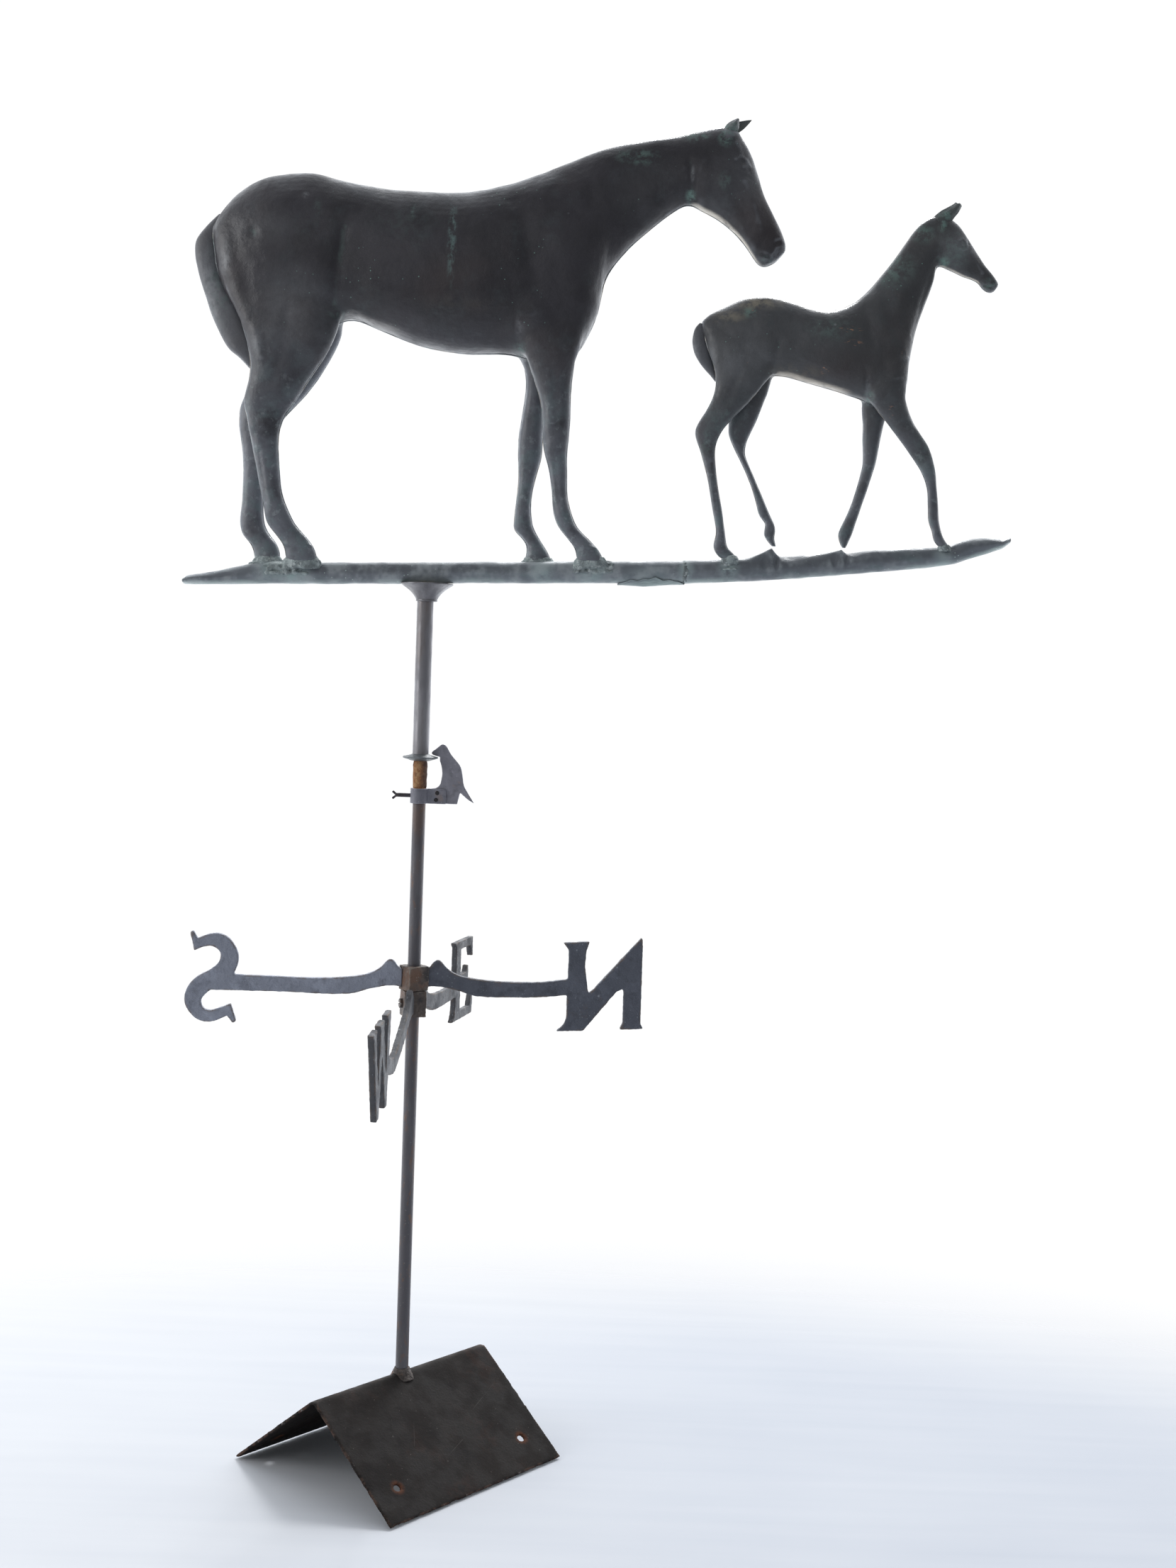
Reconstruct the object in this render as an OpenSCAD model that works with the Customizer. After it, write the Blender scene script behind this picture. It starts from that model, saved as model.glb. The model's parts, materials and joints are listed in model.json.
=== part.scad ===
// Weather vane: a hollow copper mare and foal on a tube bar, turning on a steel
// mast that is welded to a roof ridge saddle. Millimetres, +Z up. The origin is
// on the mast's axis, level with the feet of the saddle. At rest the mare's
// nose points along +X.

/* [Ridge saddle] */
// Length of the saddle along the roof ridge
saddle_len = 231; // [200:1:260]
// Width of each flange from the bend to its free edge
flange_w = 137; // [125:1:150]
// Thickness of the saddle's plate
plate_t = 3.2; // [2.5:0.1:4]
// Slope of each flange below horizontal, degrees
roof_pitch = 37.7; // [32:0.1:42]
// Turn of the ridge from +X towards +Y, degrees
ridge_yaw = 48.9; // [0:0.1:90]
// Radius of the roof screw holes
screw_hole_r = 3.5; // [2.5:0.1:4.5]

/* [Mast] */
// Radius of the mast rod
rod_r = 6.35; // [6.35:0.05:6.5]
// Height of the rod's top end
rod_top_z = 836; // [830:1:838]
// Radial running clearance on the rod
run_gap = 0.05; // [0.02:0.01:0.1]

/* [Directionals] */
// Height of the middle of the N-S hub
ns_z = 481.5; // [478:0.5:486]
// Height of the middle of the E-W hub
ew_z = 456.5; // [454:0.5:457]
// Turn of the N-S bar from +X towards +Y, degrees
ns_yaw = 4.7; // [0:0.1:10]
// Turn of the east arm from +X towards +Y, degrees
east_yaw = 77.5; // [72:0.1:83]
// Thickness of the arms and letters
letter_t = 6; // [5:0.5:7]
// Side of the square hubs
hub_side = 21.6; // [20:0.1:23]

/* [Vane] */
// Outer radius of the rotor tube
tube_r = 7.95; // [7.9:0.05:8.2]
// Outer radius of the ground bar
bar_r = 10.4; // [10:0.1:11]
// Slope of the ground bar's long left length, degrees
bar_tilt = 2.2; // [1.5:0.1:3]
// Wall of the mare's and the foal's copper shells
shell_wall = 1.4; // [1.2:0.1:1.6]

/* [Hidden] */
$fn = 48;

steel = "#3b3634";
copper = "#2f3333";
patina = "#5c7268";
iron = "#49505a";

// Ridge saddle
bend_r = 4;
bend_outer = bend_r + plate_t;
bend_z = flange_w * sin(roof_pitch) - bend_r * cos(roof_pitch);
ridge_top_z = bend_z + bend_outer;
// Roof screw holes: distance down the flange from the bend, and half their spacing
hole_down = 104;
hole_half = 84;

// Directional hubs
ns_h = 24;
ew_h = 25.6;
hub_turn = 30;
set_screw_r = 2.6;

// Keeper collar round the rod, with two cheeks that hold the sheet figure
collar_z = 653;
collar_h = 14.6;
collar_wall = 2.5;
cheek_t = 1.6;
figure_t = 2;
rivet_r = 1.2;
rivets = [[17.5, 663.6], [16.5, 656.8]];
thumb_r = 2;
thumb_z = 660.4;

// Rotor
tube_bore = 7.05;
tube_foot_z = 694.5;
tube_top_z = 858;
flange_r = 17.3;
ball_r = 4;
ball_z = rod_top_z + 2.4;
cap_z = ball_z + ball_r + 0.3;

// Ground bar: the axis passes bar_z over the mast and kinks at the splice
bar_z = 876.8;
bar_wall = 1.2;
bar_left_x = -170;
splice_x = 251;
splice_z = bar_z + splice_x * tan(bar_tilt);
right_tilt = 4.9;
right_len = 250;
right_end_x = splice_x + right_len * cos(right_tilt);
right_end_z = splice_z + right_len * sin(right_tilt);
joint_gap = 0.55;
right_end = [
  [right_end_x - 1.6, right_end_z, bar_r - 0.25, bar_r - 0.25], [521, 917.2, 12.5, 9.4],
  [542, 922.2, 14.5, 7], [562, 925.6, 15, 1.6]
];

// Body stations: [upper point, lower point, middle y, half width], each point [x, z]
mare_body = [
  [[-213, 1201], [-213, 1184], 0, 9],
  [[-205, 1215], [-206, 1150], 0, 20],
  [[-190, 1232], [-188, 1118], 0, 29],
  [[-165, 1247], [-152, 1100], 0, 36],
  [[-125, 1253.5], [-112, 1100], 0, 38],
  [[-88, 1247], [-82, 1117], 0, 37],
  [[-52, 1241.5], [-50, 1107], 0, 39],
  [[-10, 1239.5], [-10, 1093.6], 0, 41],
  [[30, 1241], [32, 1088.3], 0, 41],
  [[65, 1248.5], [70, 1089], 0, 39],
  [[95, 1259], [106, 1083], 0, 36],
  [[122, 1271], [138, 1091], 0, 32],
  [[150, 1283], [157, 1130], 0, 27],
  [[180, 1291.5], [163.5, 1164], 0, 21],
  [[204, 1296.3], [182, 1190.5], 0, 17],
  [[227, 1300], [204, 1211], 0, 15],
  [[249, 1305.5], [227, 1230.5], 0, 15],
  [[267, 1310], [241, 1236.5], 0, 16.5],
  [[282, 1310], [252, 1232], 0, 18],
  [[291, 1299.5], [265, 1226], 0, 18.5],
  [[299, 1285], [278, 1218], 0, 17],
  [[306.5, 1266], [289, 1209], 0, 14.5],
  [[313.5, 1247], [298, 1198.5], 0, 12.5],
  [[322.5, 1230], [304.5, 1189], 0, 11],
  [[330.5, 1215.5], [310.5, 1182], 0, 11],
  [[335, 1204], [318, 1181.3], 0, 10],
  [[335, 1196], [326, 1185.5], 0, 7]
];
mare_near_hind = [
  [[-95, 1158], [-207, 1160], -16, 18],
  [[-87, 1117], [-197, 1137], -17, 18],
  [[-96, 1088], [-184, 1109], -17, 16],
  [[-111, 1064], [-174, 1081], -16, 13.5],
  [[-127, 1041], [-174.5, 1057], -15, 11.5],
  [[-141, 1021.5], [-181, 1035], -14, 10],
  [[-147, 1006.5], [-178, 1017], -13, 9],
  [[-148, 990], [-174.5, 1000], -12.5, 8],
  [[-146.5, 969], [-169.5, 976], -11.5, 7],
  [[-144, 948], [-165, 953], -10.5, 6.8],
  [[-138.5, 933], [-161, 936], -10, 7.4],
  [[-130, 918], [-157.5, 919.5], -9.5, 7.2],
  [[-119.5, 906.5], [-148, 907.5], -9, 6.4],
  [[-112, 896], [-141, 897.5], -8.5, 7],
  [[-108.5, 884], [-138, 883.5], -8, 7.5]
];
mare_far_hind = [
  [[-98, 1150], [-197, 1150], 16, 18],
  [[-89, 1108], [-190, 1117], 16, 17],
  [[-104, 1074], [-176, 1082], 15, 14],
  [[-122, 1046], [-177, 1055], 14, 12],
  [[-143, 1022], [-185, 1033], 13.5, 10],
  [[-152, 1004], [-185.5, 1014], 12.5, 9],
  [[-156, 986], [-181.5, 991], 12, 8],
  [[-158.5, 966], [-180, 967], 11.5, 7],
  [[-160, 943], [-180, 943.5], 10.5, 6.8],
  [[-159, 922], [-181.8, 924.5], 10, 7.4],
  [[-154, 910], [-179.5, 910.5], 9.5, 7],
  [[-145, 898.5], [-169, 897.5], 9, 6.4],
  [[-141.3, 885], [-166, 883], 8, 7.2]
];
mare_near_fore = [
  [[150, 1132], [98, 1145], -15, 14],
  [[142, 1096], [80, 1104], -15, 15],
  [[136.5, 1080], [91, 1083], -15, 12.5],
  [[134.5, 1058], [102, 1057], -14, 11],
  [[134.2, 1035], [107.5, 1035], -13, 9.7],
  [[133.7, 1012], [109, 1012], -12, 9.2],
  [[132.4, 994], [111, 996], -11.5, 8.6],
  [[133, 975], [116, 979], -11, 6.8],
  [[133.8, 956], [119.5, 959], -10.5, 6.5],
  [[138, 939.5], [121.6, 941], -10, 7.2],
  [[144.5, 925], [125.5, 927.5], -9.5, 7.2],
  [[156.5, 913.5], [135, 916], -9, 6.4],
  [[166, 903.5], [143.5, 905], -8.5, 7],
  [[171.5, 894.4], [146, 893.4], -8, 7.6]
];
mare_far_fore = [
  [[140, 1125], [90, 1140], 14, 14],
  [[128, 1092], [81, 1098], 15, 14],
  [[117, 1072], [88, 1077], 14, 11.5],
  [[110, 1054], [90.5, 1060], 13, 10],
  [[109, 1034], [88, 1036], 12.5, 9.5],
  [[108, 1012], [85.3, 1016], 12, 9],
  [[107.5, 992], [85, 996], 11.5, 8.5],
  [[103.5, 976], [86, 976], 11, 6.8],
  [[100, 959], [85, 955], 10.5, 6.5],
  [[98.8, 940], [83.3, 933], 10, 7.2],
  [[101.5, 925], [83.8, 922.5], 9.5, 7],
  [[109, 912], [92, 914], 9, 6.2],
  [[116, 901.5], [97, 905], 8.5, 7],
  [[121, 893], [94.5, 891], 8, 7.4]
];
mare_tail_line = [
  [[-203, 1211], [-209.5, 1212.5], 0, 3],
  [[-205, 1200], [-221, 1200.5], 0, 6],
  [[-206, 1187], [-230.3, 1187], 0, 8.5],
  [[-206, 1172], [-231, 1173], 0, 9.5],
  [[-203, 1158], [-228, 1158.5], 0, 10],
  [[-197, 1145], [-224.3, 1146], 0, 10],
  [[-188, 1130], [-219, 1131.5], 0, 10],
  [[-178, 1113], [-214, 1117.5], 0, 10],
  [[-171, 1096], [-206.4, 1101.6], 0, 9.5],
  [[-167, 1082], [-197.2, 1086], 0, 8.5],
  [[-167, 1071], [-186, 1076.5], 0, 6.5],
  [[-169, 1063], [-176.5, 1067], 0, 4]
];
foal_body = [
  [[257.5, 1126.5], [258, 1114], 0, 5],
  [[266, 1134], [264.5, 1098], 0, 11],
  [[281, 1141.5], [279, 1082], 0, 17],
  [[298, 1149.2], [301, 1078], 0, 20],
  [[320, 1152.8], [322, 1078], 0, 21],
  [[342, 1148], [342, 1077], 0, 20.5],
  [[361, 1142.7], [362, 1072], 0, 21],
  [[381, 1141], [386, 1066], 0, 21.5],
  [[399, 1146.5], [410, 1059], 0, 20.5],
  [[413, 1157], [431, 1053], 0, 19],
  [[427, 1174], [455, 1066], 0, 16],
  [[439, 1190], [458.5, 1096], 0, 13.5],
  [[449, 1205], [463.5, 1126], 0, 11],
  [[457, 1217], [471, 1150], 0, 9.5],
  [[466, 1227.5], [478, 1171], 0, 9],
  [[477, 1233.5], [480.5, 1186], 0, 9.5],
  [[487, 1234.5], [483, 1186.5], 0, 10.5],
  [[494.5, 1231], [487, 1186], 0, 10.5],
  [[501.5, 1225], [493, 1184], 0, 10],
  [[508.5, 1216], [500, 1181], 0, 9],
  [[514.5, 1207], [507, 1178], 0, 8],
  [[521, 1198], [514, 1176], 0, 7],
  [[528, 1188.5], [521, 1173], 0, 6.5],
  [[535, 1180.5], [526.5, 1167], 0, 6.2],
  [[540.3, 1173.5], [532, 1164], 0, 5.5],
  [[540.5, 1170], [537, 1165], 0, 3.5]
];
foal_near_hind = [
  [[327, 1100], [262.5, 1115], -9, 10],
  [[328, 1078.5], [264.5, 1097.5], -9, 10],
  [[317, 1065], [271.5, 1079.5], -9, 8.5],
  [[304, 1049], [273, 1062], -8.5, 7],
  [[291, 1035], [267.5, 1045], -8, 5.8],
  [[281, 1023], [257.5, 1028], -8, 5.2],
  [[275.5, 1010], [255.3, 1017.5], -7.5, 5],
  [[274.8, 996], [261, 1002], -7.5, 4.4],
  [[277.5, 976], [267.8, 980], -7, 3.8],
  [[281, 958], [272, 960], -7, 3.6],
  [[284.3, 942], [276, 942.5], -6.5, 3.6],
  [[287.3, 925], [279, 925], -6.5, 4],
  [[289.5, 912], [276.8, 912.5], -6.5, 4.4],
  [[294.5, 906.6], [280, 904.6], -6.5, 4],
  [[300.5, 901.8], [286.5, 900.6], -6.5, 4.6]
];
foal_far_hind = [
  [[330, 1095], [282, 1100], 9, 10],
  [[328, 1072], [283, 1072], 9, 9],
  [[319, 1047], [287.5, 1049], 8.5, 7.3],
  [[312, 1029], [288, 1033], 8, 6],
  [[305.5, 1014], [288.5, 1021], 8, 5.4],
  [[304.5, 1002], [293, 1010.5], 7.5, 5],
  [[310, 989.5], [303, 991.5], 7, 4.1],
  [[316.5, 975.5], [310.5, 975.5], 7, 3.8],
  [[323.5, 960.5], [316.5, 959.5], 6.5, 3.7],
  [[330, 946], [321, 944.5], 6.5, 4],
  [[336.8, 933], [327.5, 936], 6.5, 4.4],
  [[336.2, 922], [326.5, 925], 6.5, 4],
  [[338.5, 914.5], [334, 915], 6.5, 3.2]
];
foal_near_fore = [
  [[458, 1098], [424, 1090], -8, 10],
  [[456.5, 1075], [418, 1062], -9, 10],
  [[455.5, 1058], [427, 1048.5], -9, 8.5],
  [[461, 1041], [440, 1034], -8.5, 7],
  [[470, 1027], [452, 1019.5], -8, 6],
  [[480, 1013], [464, 1004], -7.5, 5.2],
  [[486.5, 994], [474.5, 989], -7.5, 4.9],
  [[489, 977], [480, 975], -7, 4],
  [[491.3, 960], [482, 959.5], -7, 3.7],
  [[492.8, 944], [483, 944], -6.5, 3.9],
  [[495.8, 932], [487, 934], -6.5, 4.2],
  [[499, 925.5], [489.3, 924.5], -6.5, 4],
  [[503.8, 920.6], [495.4, 918.7], -6.5, 4.3]
];
foal_far_fore = [
  [[446, 1088], [416, 1088], 9, 9],
  [[443, 1055], [416, 1055], 9, 8],
  [[438, 1035], [417.8, 1035], 8.5, 6.8],
  [[434.7, 1018], [418.5, 1017], 8, 5.8],
  [[432, 1000], [419.8, 1000], 8, 5.2],
  [[428.5, 986.5], [417.5, 986.5], 7.5, 4.7],
  [[423.5, 970], [413.7, 970.5], 7, 3.9],
  [[418.5, 954], [409, 955], 6.5, 3.8],
  [[413.8, 938], [404.5, 943], 6.5, 4.2],
  [[411.5, 929.5], [398.5, 930], 6.5, 4.2],
  [[408.5, 922], [399.5, 922.5], 6.5, 3.8],
  [[405.8, 915.5], [402.5, 915.8], 6.5, 2.6]
];
foal_tail_line = [
  [[259, 1124.5], [255.5, 1125.3], 0, 2],
  [[262, 1118], [251.4, 1120], 0, 3.8],
  [[264, 1110.5], [249.3, 1111.5], 0, 4.8],
  [[266, 1104], [249.4, 1105], 0, 5],
  [[268.5, 1094], [252.3, 1095.8], 0, 5],
  [[271.5, 1086], [257, 1088], 0, 4.6],
  [[274, 1080], [262.4, 1081.4], 0, 4],
  [[275, 1074.5], [267.9, 1075.7], 0, 3.2],
  [[275.5, 1070], [272.5, 1070.3], 0, 2]
];
body_sides = 20;
leg_sides = 12;

// Closed ring of n points round one station, drawn in by t
function ring(s, n, t) =
  let (c = (s[0] + s[1]) / 2, d = s[0] - s[1], h = norm(d) / 2 - t, u = d / norm(d), w = s[3] - t)
  [for (k = [0:n - 1]) let (a = 360 * k / n)
    [c[0] + u[0] * h * cos(a), s[2] + w * sin(a), c[1] + u[1] * h * cos(a)]];

// Faces of a closed prism whose points are two rings of n
function prism_faces(n) = concat(
  [[for (k = [n - 1:-1:0]) k], [for (k = [0:n - 1]) n + k]],
  [for (k = [0:n - 1]) let (next = (k + 1) % n) [k, next, n + next]],
  [for (k = [0:n - 1]) let (next = (k + 1) % n) [k, n + next, n + k]]
);

// Skin over a row of stations, one convex length between each two
module loft(stations, n, t = 0) {
  for (i = [0:len(stations) - 2])
    hull()
      polyhedron(concat(ring(stations[i], n, t), ring(stations[i + 1], n, t)), prism_faces(n));
}

// The same stations without their last, so that a hollow stops short of the end
function trimmed(stations) = [for (i = [0:len(stations) - 2]) stations[i]];
function inner(stations) = [for (i = [1:len(stations) - 2]) stations[i]];

// Half of a hollow figure: side is -1 for the near half, 1 for the far half
module half_shell(body, legs, side) {
  difference() {
    intersection() {
      union() {
        loft(body, body_sides);
        for (leg = legs)
          loft(leg, leg_sides);
      }
      translate([-500, side < 0 ? -100 : 0, 800])
        cube([1200, 100, 600]);
    }
    loft(inner(body), body_sides, shell_wall);
    for (leg = legs)
      loft(trimmed(leg), leg_sides, shell_wall);
  }
}

// A pointed leaf ear from a base chord to its tip
module ear(base_a, base_b, tip, y, w) {
  steps = 4;
  leaf = [for (i = [0:steps]) let (f = i / steps, wide = 1 - f * f * 0.92)
    let (a = base_a * (1 - f) + tip * f, b = base_b * (1 - f) + tip * f, m = (a + b) / 2)
    [m + (a - m) * (1 + 0.4 * sin(180 * f)) + [0, 0.3], m + (b - m) * (1 + 0.4 * sin(180 * f)) - [0, 0.3],
      y, w * wide]];
  loft(leaf, leg_sides);
}

// Crust of solder round a hoof that stands at [x, z]
module solder_blob(x, y, z, long, wide, high) {
  translate([x, y, z])
    scale([long, wide, high])
      sphere(r = 1, $fn = 14);
}

// Open Catmull-Rom curve through points p, n steps between each two
function spline(p, n = 3) = [
  for (i = [0:len(p) - 2]) for (k = [0:n - 1])
    let (a = p[max(i - 1, 0)], b = p[i], c = p[i + 1], d = p[min(i + 2, len(p) - 1)], f = k / n)
    (2 * b + (c - a) * f + (2 * a - 5 * b + 4 * c - d) * f * f + (3 * b - a - 3 * c + d) * f * f * f) / 2,
  p[len(p) - 1]
];

// An upright plate of thickness t in the plane that holds the mast and points along yaw
module upright_plate(yaw, t) {
  rotate([0, 0, yaw])
    translate([0, t / 2, 0])
      rotate([90, 0, 0])
        linear_extrude(t)
          children();
}

/* Stand */

// One side of the saddle's skin at radius r from the bend, from the ridge down to the free edge
function skin(r) = concat(
  [for (k = [0:8]) let (a = roof_pitch * k / 8) [r * sin(a), bend_z + r * cos(a)]],
  [[r * sin(roof_pitch) + flange_w * cos(roof_pitch), bend_z + r * cos(roof_pitch) - flange_w * sin(roof_pitch)]]
);
function reversed(p) = [for (i = [len(p) - 1:-1:0]) p[i]];
function mirrored(p) = [for (q = p) [-q[0], q[1]]];

module saddle_outline() {
  outer = skin(bend_outer);
  under = skin(bend_r);
  polygon(concat(mirrored(reversed(outer)), inner(outer), [outer[len(outer) - 1]],
    reversed(under), inner(mirrored(under)), [mirrored(under)[len(under) - 1]]));
}

// Everything under the saddle's outer skin, to cope the rod and the weld
module ridge_core() {
  core_x = bend_outer * sin(roof_pitch);
  core_z = bend_z + bend_outer * cos(roof_pitch);
  rotate([0, 0, ridge_yaw])
    translate([-30, 0, 0])
      rotate([90, 0, 90])
        linear_extrude(60)
          union() {
            translate([0, bend_z])
              circle(bend_outer);
            polygon([
              [core_x + 30, bend_z - 30], [core_x + 30, core_z - 30 * tan(roof_pitch)], [core_x, core_z],
              [-core_x, core_z], [-core_x - 30, core_z - 30 * tan(roof_pitch)], [-core_x - 30, bend_z - 30]
            ]);
          }
}

module roof_screw_holes() {
  for (side = [0, 180]) for (end = [-1, 1])
    rotate([0, 0, ridge_yaw + side])
      translate([end * hole_half, 0, bend_z])
        rotate([-roof_pitch, 0, 0])
          translate([0, hole_down, -5])
            cylinder(r = screw_hole_r, h = 20);
}

module ridge_saddle() {
  color(steel)
    difference() {
      rotate([0, 0, ridge_yaw])
        translate([-saddle_len / 2, 0, 0])
          rotate([90, 0, 90])
            linear_extrude(saddle_len)
              saddle_outline();
      roof_screw_holes();
    }
}

module saddle_weld() {
  color("#4a3a30")
    difference() {
      translate([0, 0, ridge_top_z - 6])
        cylinder(r1 = 12.5, r2 = 7.2, h = 11);
      cylinder(r = rod_r, h = rod_top_z);
      ridge_core();
    }
}

module mast_rod() {
  color("#4b4442")
    difference() {
      translate([0, 0, ridge_top_z - 6])
        cylinder(r = rod_r, h = rod_top_z - ridge_top_z + 6);
      ridge_core();
      translate([0, 0, ball_z])
        sphere(r = ball_r);
    }
}

module pivot_ball() {
  color("#8d8f92")
    translate([0, 0, ball_z])
      sphere(r = ball_r);
}

/* Directionals */

module hub_block(yaw, z, h) {
  rotate([0, 0, yaw + hub_turn])
    translate([-hub_side / 2, -hub_side / 2, z - h / 2])
      cube([hub_side, hub_side, h]);
}

// Square hub bored for the rod, with a tapped hole in the face that looks along back_yaw
module hub(yaw, z, h) {
  difference() {
    hub_block(yaw, z, h);
    translate([0, 0, z - h])
      cylinder(r = rod_r + run_gap, h = 2 * h);
    translate([0, 0, z])
      rotate([-90, 0, yaw + hub_turn])
        cylinder(r = set_screw_r, h = hub_side);
  }
}

module set_screw(yaw, z) {
  head_h = 3;
  shank = hub_side / 2 - rod_r - 0.1;
  rotate([0, 0, yaw + hub_turn])
    translate([0, rod_r + 0.1, z])
      rotate([-90, 0, 0])
        difference() {
          union() {
            cylinder(r = set_screw_r, h = shank);
            translate([0, 0, shank])
              cylinder(r = 4.6, h = head_h);
          }
          translate([-6, -0.6, shank + head_h - 1.2])
            cube([12, 1.2, 2]);
        }
}

// Arm outline: u is the distance from the mast, v the height over the hub's middle
module arm_outline(reach, sag, drop = 0) {
  top = [[8, 8], [15, 10.6], [19, 15.5], [23.5, 18.2], [28, 15], [33, 9.5], [44, 3.5], [62, 0],
    [90, -2], [125, -1.5], [reach, sag + 8]];
  low = [[reach, sag - 8], [125, -16.5], [90, -17.5], [62, -17], [46, -12.5], [33, -9.5],
    [23.5, -8], [15, -8.5], [8, -11]];
  bent = function (p) [p[0], p[1] - drop * (1 - cos(90 * min(1, p[0] / 110))) ];
  polygon([for (p = concat(spline(top), spline(low))) bent(p)]);
}

module n_outline() {
  polygon(concat(
    [[146, 38], [172, 40]],
    spline([[169, 31], [168, 15], [172, -11.5], [177, -7.5]], 1),
    [[223, 45], [224.5, 43], [225, -41], [228, -46], [204, -47], [207, -40]],
    [[207, -9.5], [206, -6.5], [200, -9.5], [168, -49], [141, -50]],
    spline([[141, -50], [148, -44], [151, -36]]),
    [[151.5, 31]]
  ));
}

module s_outline() {
  outer_top = [[-210, 34], [-200, 38], [-190, 39.5], [-179, 34.5], [-171, 21.5], [-171, 8.5],
    [-177, -3.5], [-188, -11], [-198, -17.5], [-205, -25.5], [-203, -33.5], [-196, -36],
    [-186, -33], [-176.5, -29]];
  outer_low = [[-180, -41], [-189, -45.5], [-198, -47.5], [-208, -45.5], [-217, -37.5],
    [-221.5, -25.5], [-218, -12.5], [-209, -3], [-197, 4], [-189, 11.5], [-188, 20.5],
    [-194, 26.3], [-203, 26], [-213, 21.8]];
  polygon(concat(
    spline(outer_top), [[-171, -46], [-173, -48], [-175, -48]],
    spline(outer_low), [[-217, 40], [-214, 41.5], [-213, 40]]
  ));
}

module e_outline() {
  polygon([
    [-6, 42], [60, 42], [62, 21], [58, 21], [52, 33], [17, 33], [17, 6], [38, 6], [42, 13], [46, 13],
    [46, -13], [42, -13], [38, -6], [17, -6], [17, -33], [54, -33], [60, -20], [64, -20], [63, -42],
    [-10, -42], [-3, -36], [0, -26], [0, 36]
  ]);
}

module w_outline() {
  right = [[12, 42], [8, 37], [19, -12], [28, 37], [24, 42], [46, 42], [42, 37], [25, -42], [16, -42]];
  left = [for (i = [len(right) - 1:-1:0]) [-right[i][0], right[i][1]]];
  polygon(concat(right, [[0, 12]], left));
}

module ns_hub() {
  color("#574a42")
    hub(ns_yaw, ns_z, ns_h);
}

module north_arm() {
  color(iron)
    difference() {
      translate([0, 0, ns_z])
        upright_plate(ns_yaw, letter_t) {
          arm_outline(158, -5);
          n_outline();
        }
      hub_block(ns_yaw, ns_z, ns_h);
    }
}

module south_arm() {
  color(iron)
    difference() {
      translate([0, 0, ns_z])
        upright_plate(ns_yaw, letter_t) {
          mirror([1, 0])
            arm_outline(198, -8);
          s_outline();
        }
      hub_block(ns_yaw, ns_z, ns_h);
    }
}

module ns_set_screw() {
  color("#55504c")
    set_screw(ns_yaw, ns_z);
}

module ew_hub() {
  color("#574a42")
    hub(east_yaw, ew_z, ew_h);
}

module east_arm() {
  color(iron)
    difference() {
      translate([0, 0, ew_z])
        upright_plate(east_yaw, letter_t) {
          arm_outline(148, -7);
          translate([138, 0])
            e_outline();
        }
      hub_block(east_yaw, ew_z, ew_h);
    }
}

// The west arm is bent down and a little sideways
west_yaw = 266;
west_drop = 29;
west_tilt = 4.9;

module west_arm() {
  color(iron)
    difference() {
      translate([0, 0, ew_z])
        upright_plate(west_yaw, letter_t) {
          arm_outline(146, -4, west_drop);
          translate([179, -west_drop])
            rotate(-west_tilt)
              w_outline();
        }
      hub_block(east_yaw, ew_z, ew_h);
    }
}

module ew_set_screw() {
  color("#55504c")
    set_screw(east_yaw, ew_z);
}

/* Keeper */

module keeper_collar() {
  collar_r = rod_r + run_gap + collar_wall;
  color("#34343a")
    difference() {
      union() {
        translate([0, 0, collar_z])
          cylinder(r = collar_r, h = collar_h);
        for (side = [0, 1])
          mirror([0, side, 0])
            translate([0, figure_t / 2, collar_z])
              cube([26, cheek_t, collar_h]);
      }
      translate([0, 0, collar_z - 1])
        cylinder(r = rod_r + run_gap, h = collar_h + 2);
      translate([rod_r, -figure_t / 2, collar_z - 1])
        cube([30, figure_t, collar_h + 2]);
      for (p = rivets)
        translate([p[0], 10, p[1]])
          rotate([90, 0, 0])
            cylinder(r = rivet_r, h = 20);
      translate([0, 0, thumb_z])
        rotate([0, -90, 0])
          cylinder(r = thumb_r + run_gap, h = 20);
    }
}

module keeper_figure() {
  beak = [[19, 698.9], [14, 700], [11, 701.6], [11.4, 703.8], [15, 706.6], [17.5, 708.8], [21, 711.2],
    [25, 709.4], [30, 701.2], [36, 694.4], [39.6, 689.4], [41.6, 681], [43, 672], [46.5, 665.6],
    [53.5, 654.6]];
  tail = [[53.5, 654.6], [47.5, 658], [42, 662.4], [39.6, 664.6]];
  breast = [[16, 668.4], [19.5, 671.4], [21, 677], [21.6, 683], [20.6, 690], [19, 695], [19, 698.9]];
  color("#3d3d45")
    difference() {
      rotate([90, 0, 0])
        translate([0, 0, -figure_t / 2])
          linear_extrude(figure_t)
            polygon(concat(spline(beak), spline(tail), [[37, 653.2], [10, 653.2], [10, 667.4]],
              spline(breast)));
      for (p = rivets)
        translate([p[0], 10, p[1]])
          rotate([90, 0, 0])
            cylinder(r = rivet_r, h = 20);
    }
}

module keeper_rivets() {
  cheek_y = figure_t / 2 + cheek_t;
  color("#26262a")
    for (p = rivets)
      translate([p[0], 0, p[1]])
        rotate([90, 0, 0]) {
          translate([0, 0, -cheek_y])
            cylinder(r = rivet_r, h = 2 * cheek_y);
          translate([0, 0, cheek_y])
            cylinder(r1 = 2.1, r2 = 1.4, h = 1);
          translate([0, 0, -cheek_y - 1])
            cylinder(r1 = 1.4, r2 = 2.1, h = 1);
        }
}

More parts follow.
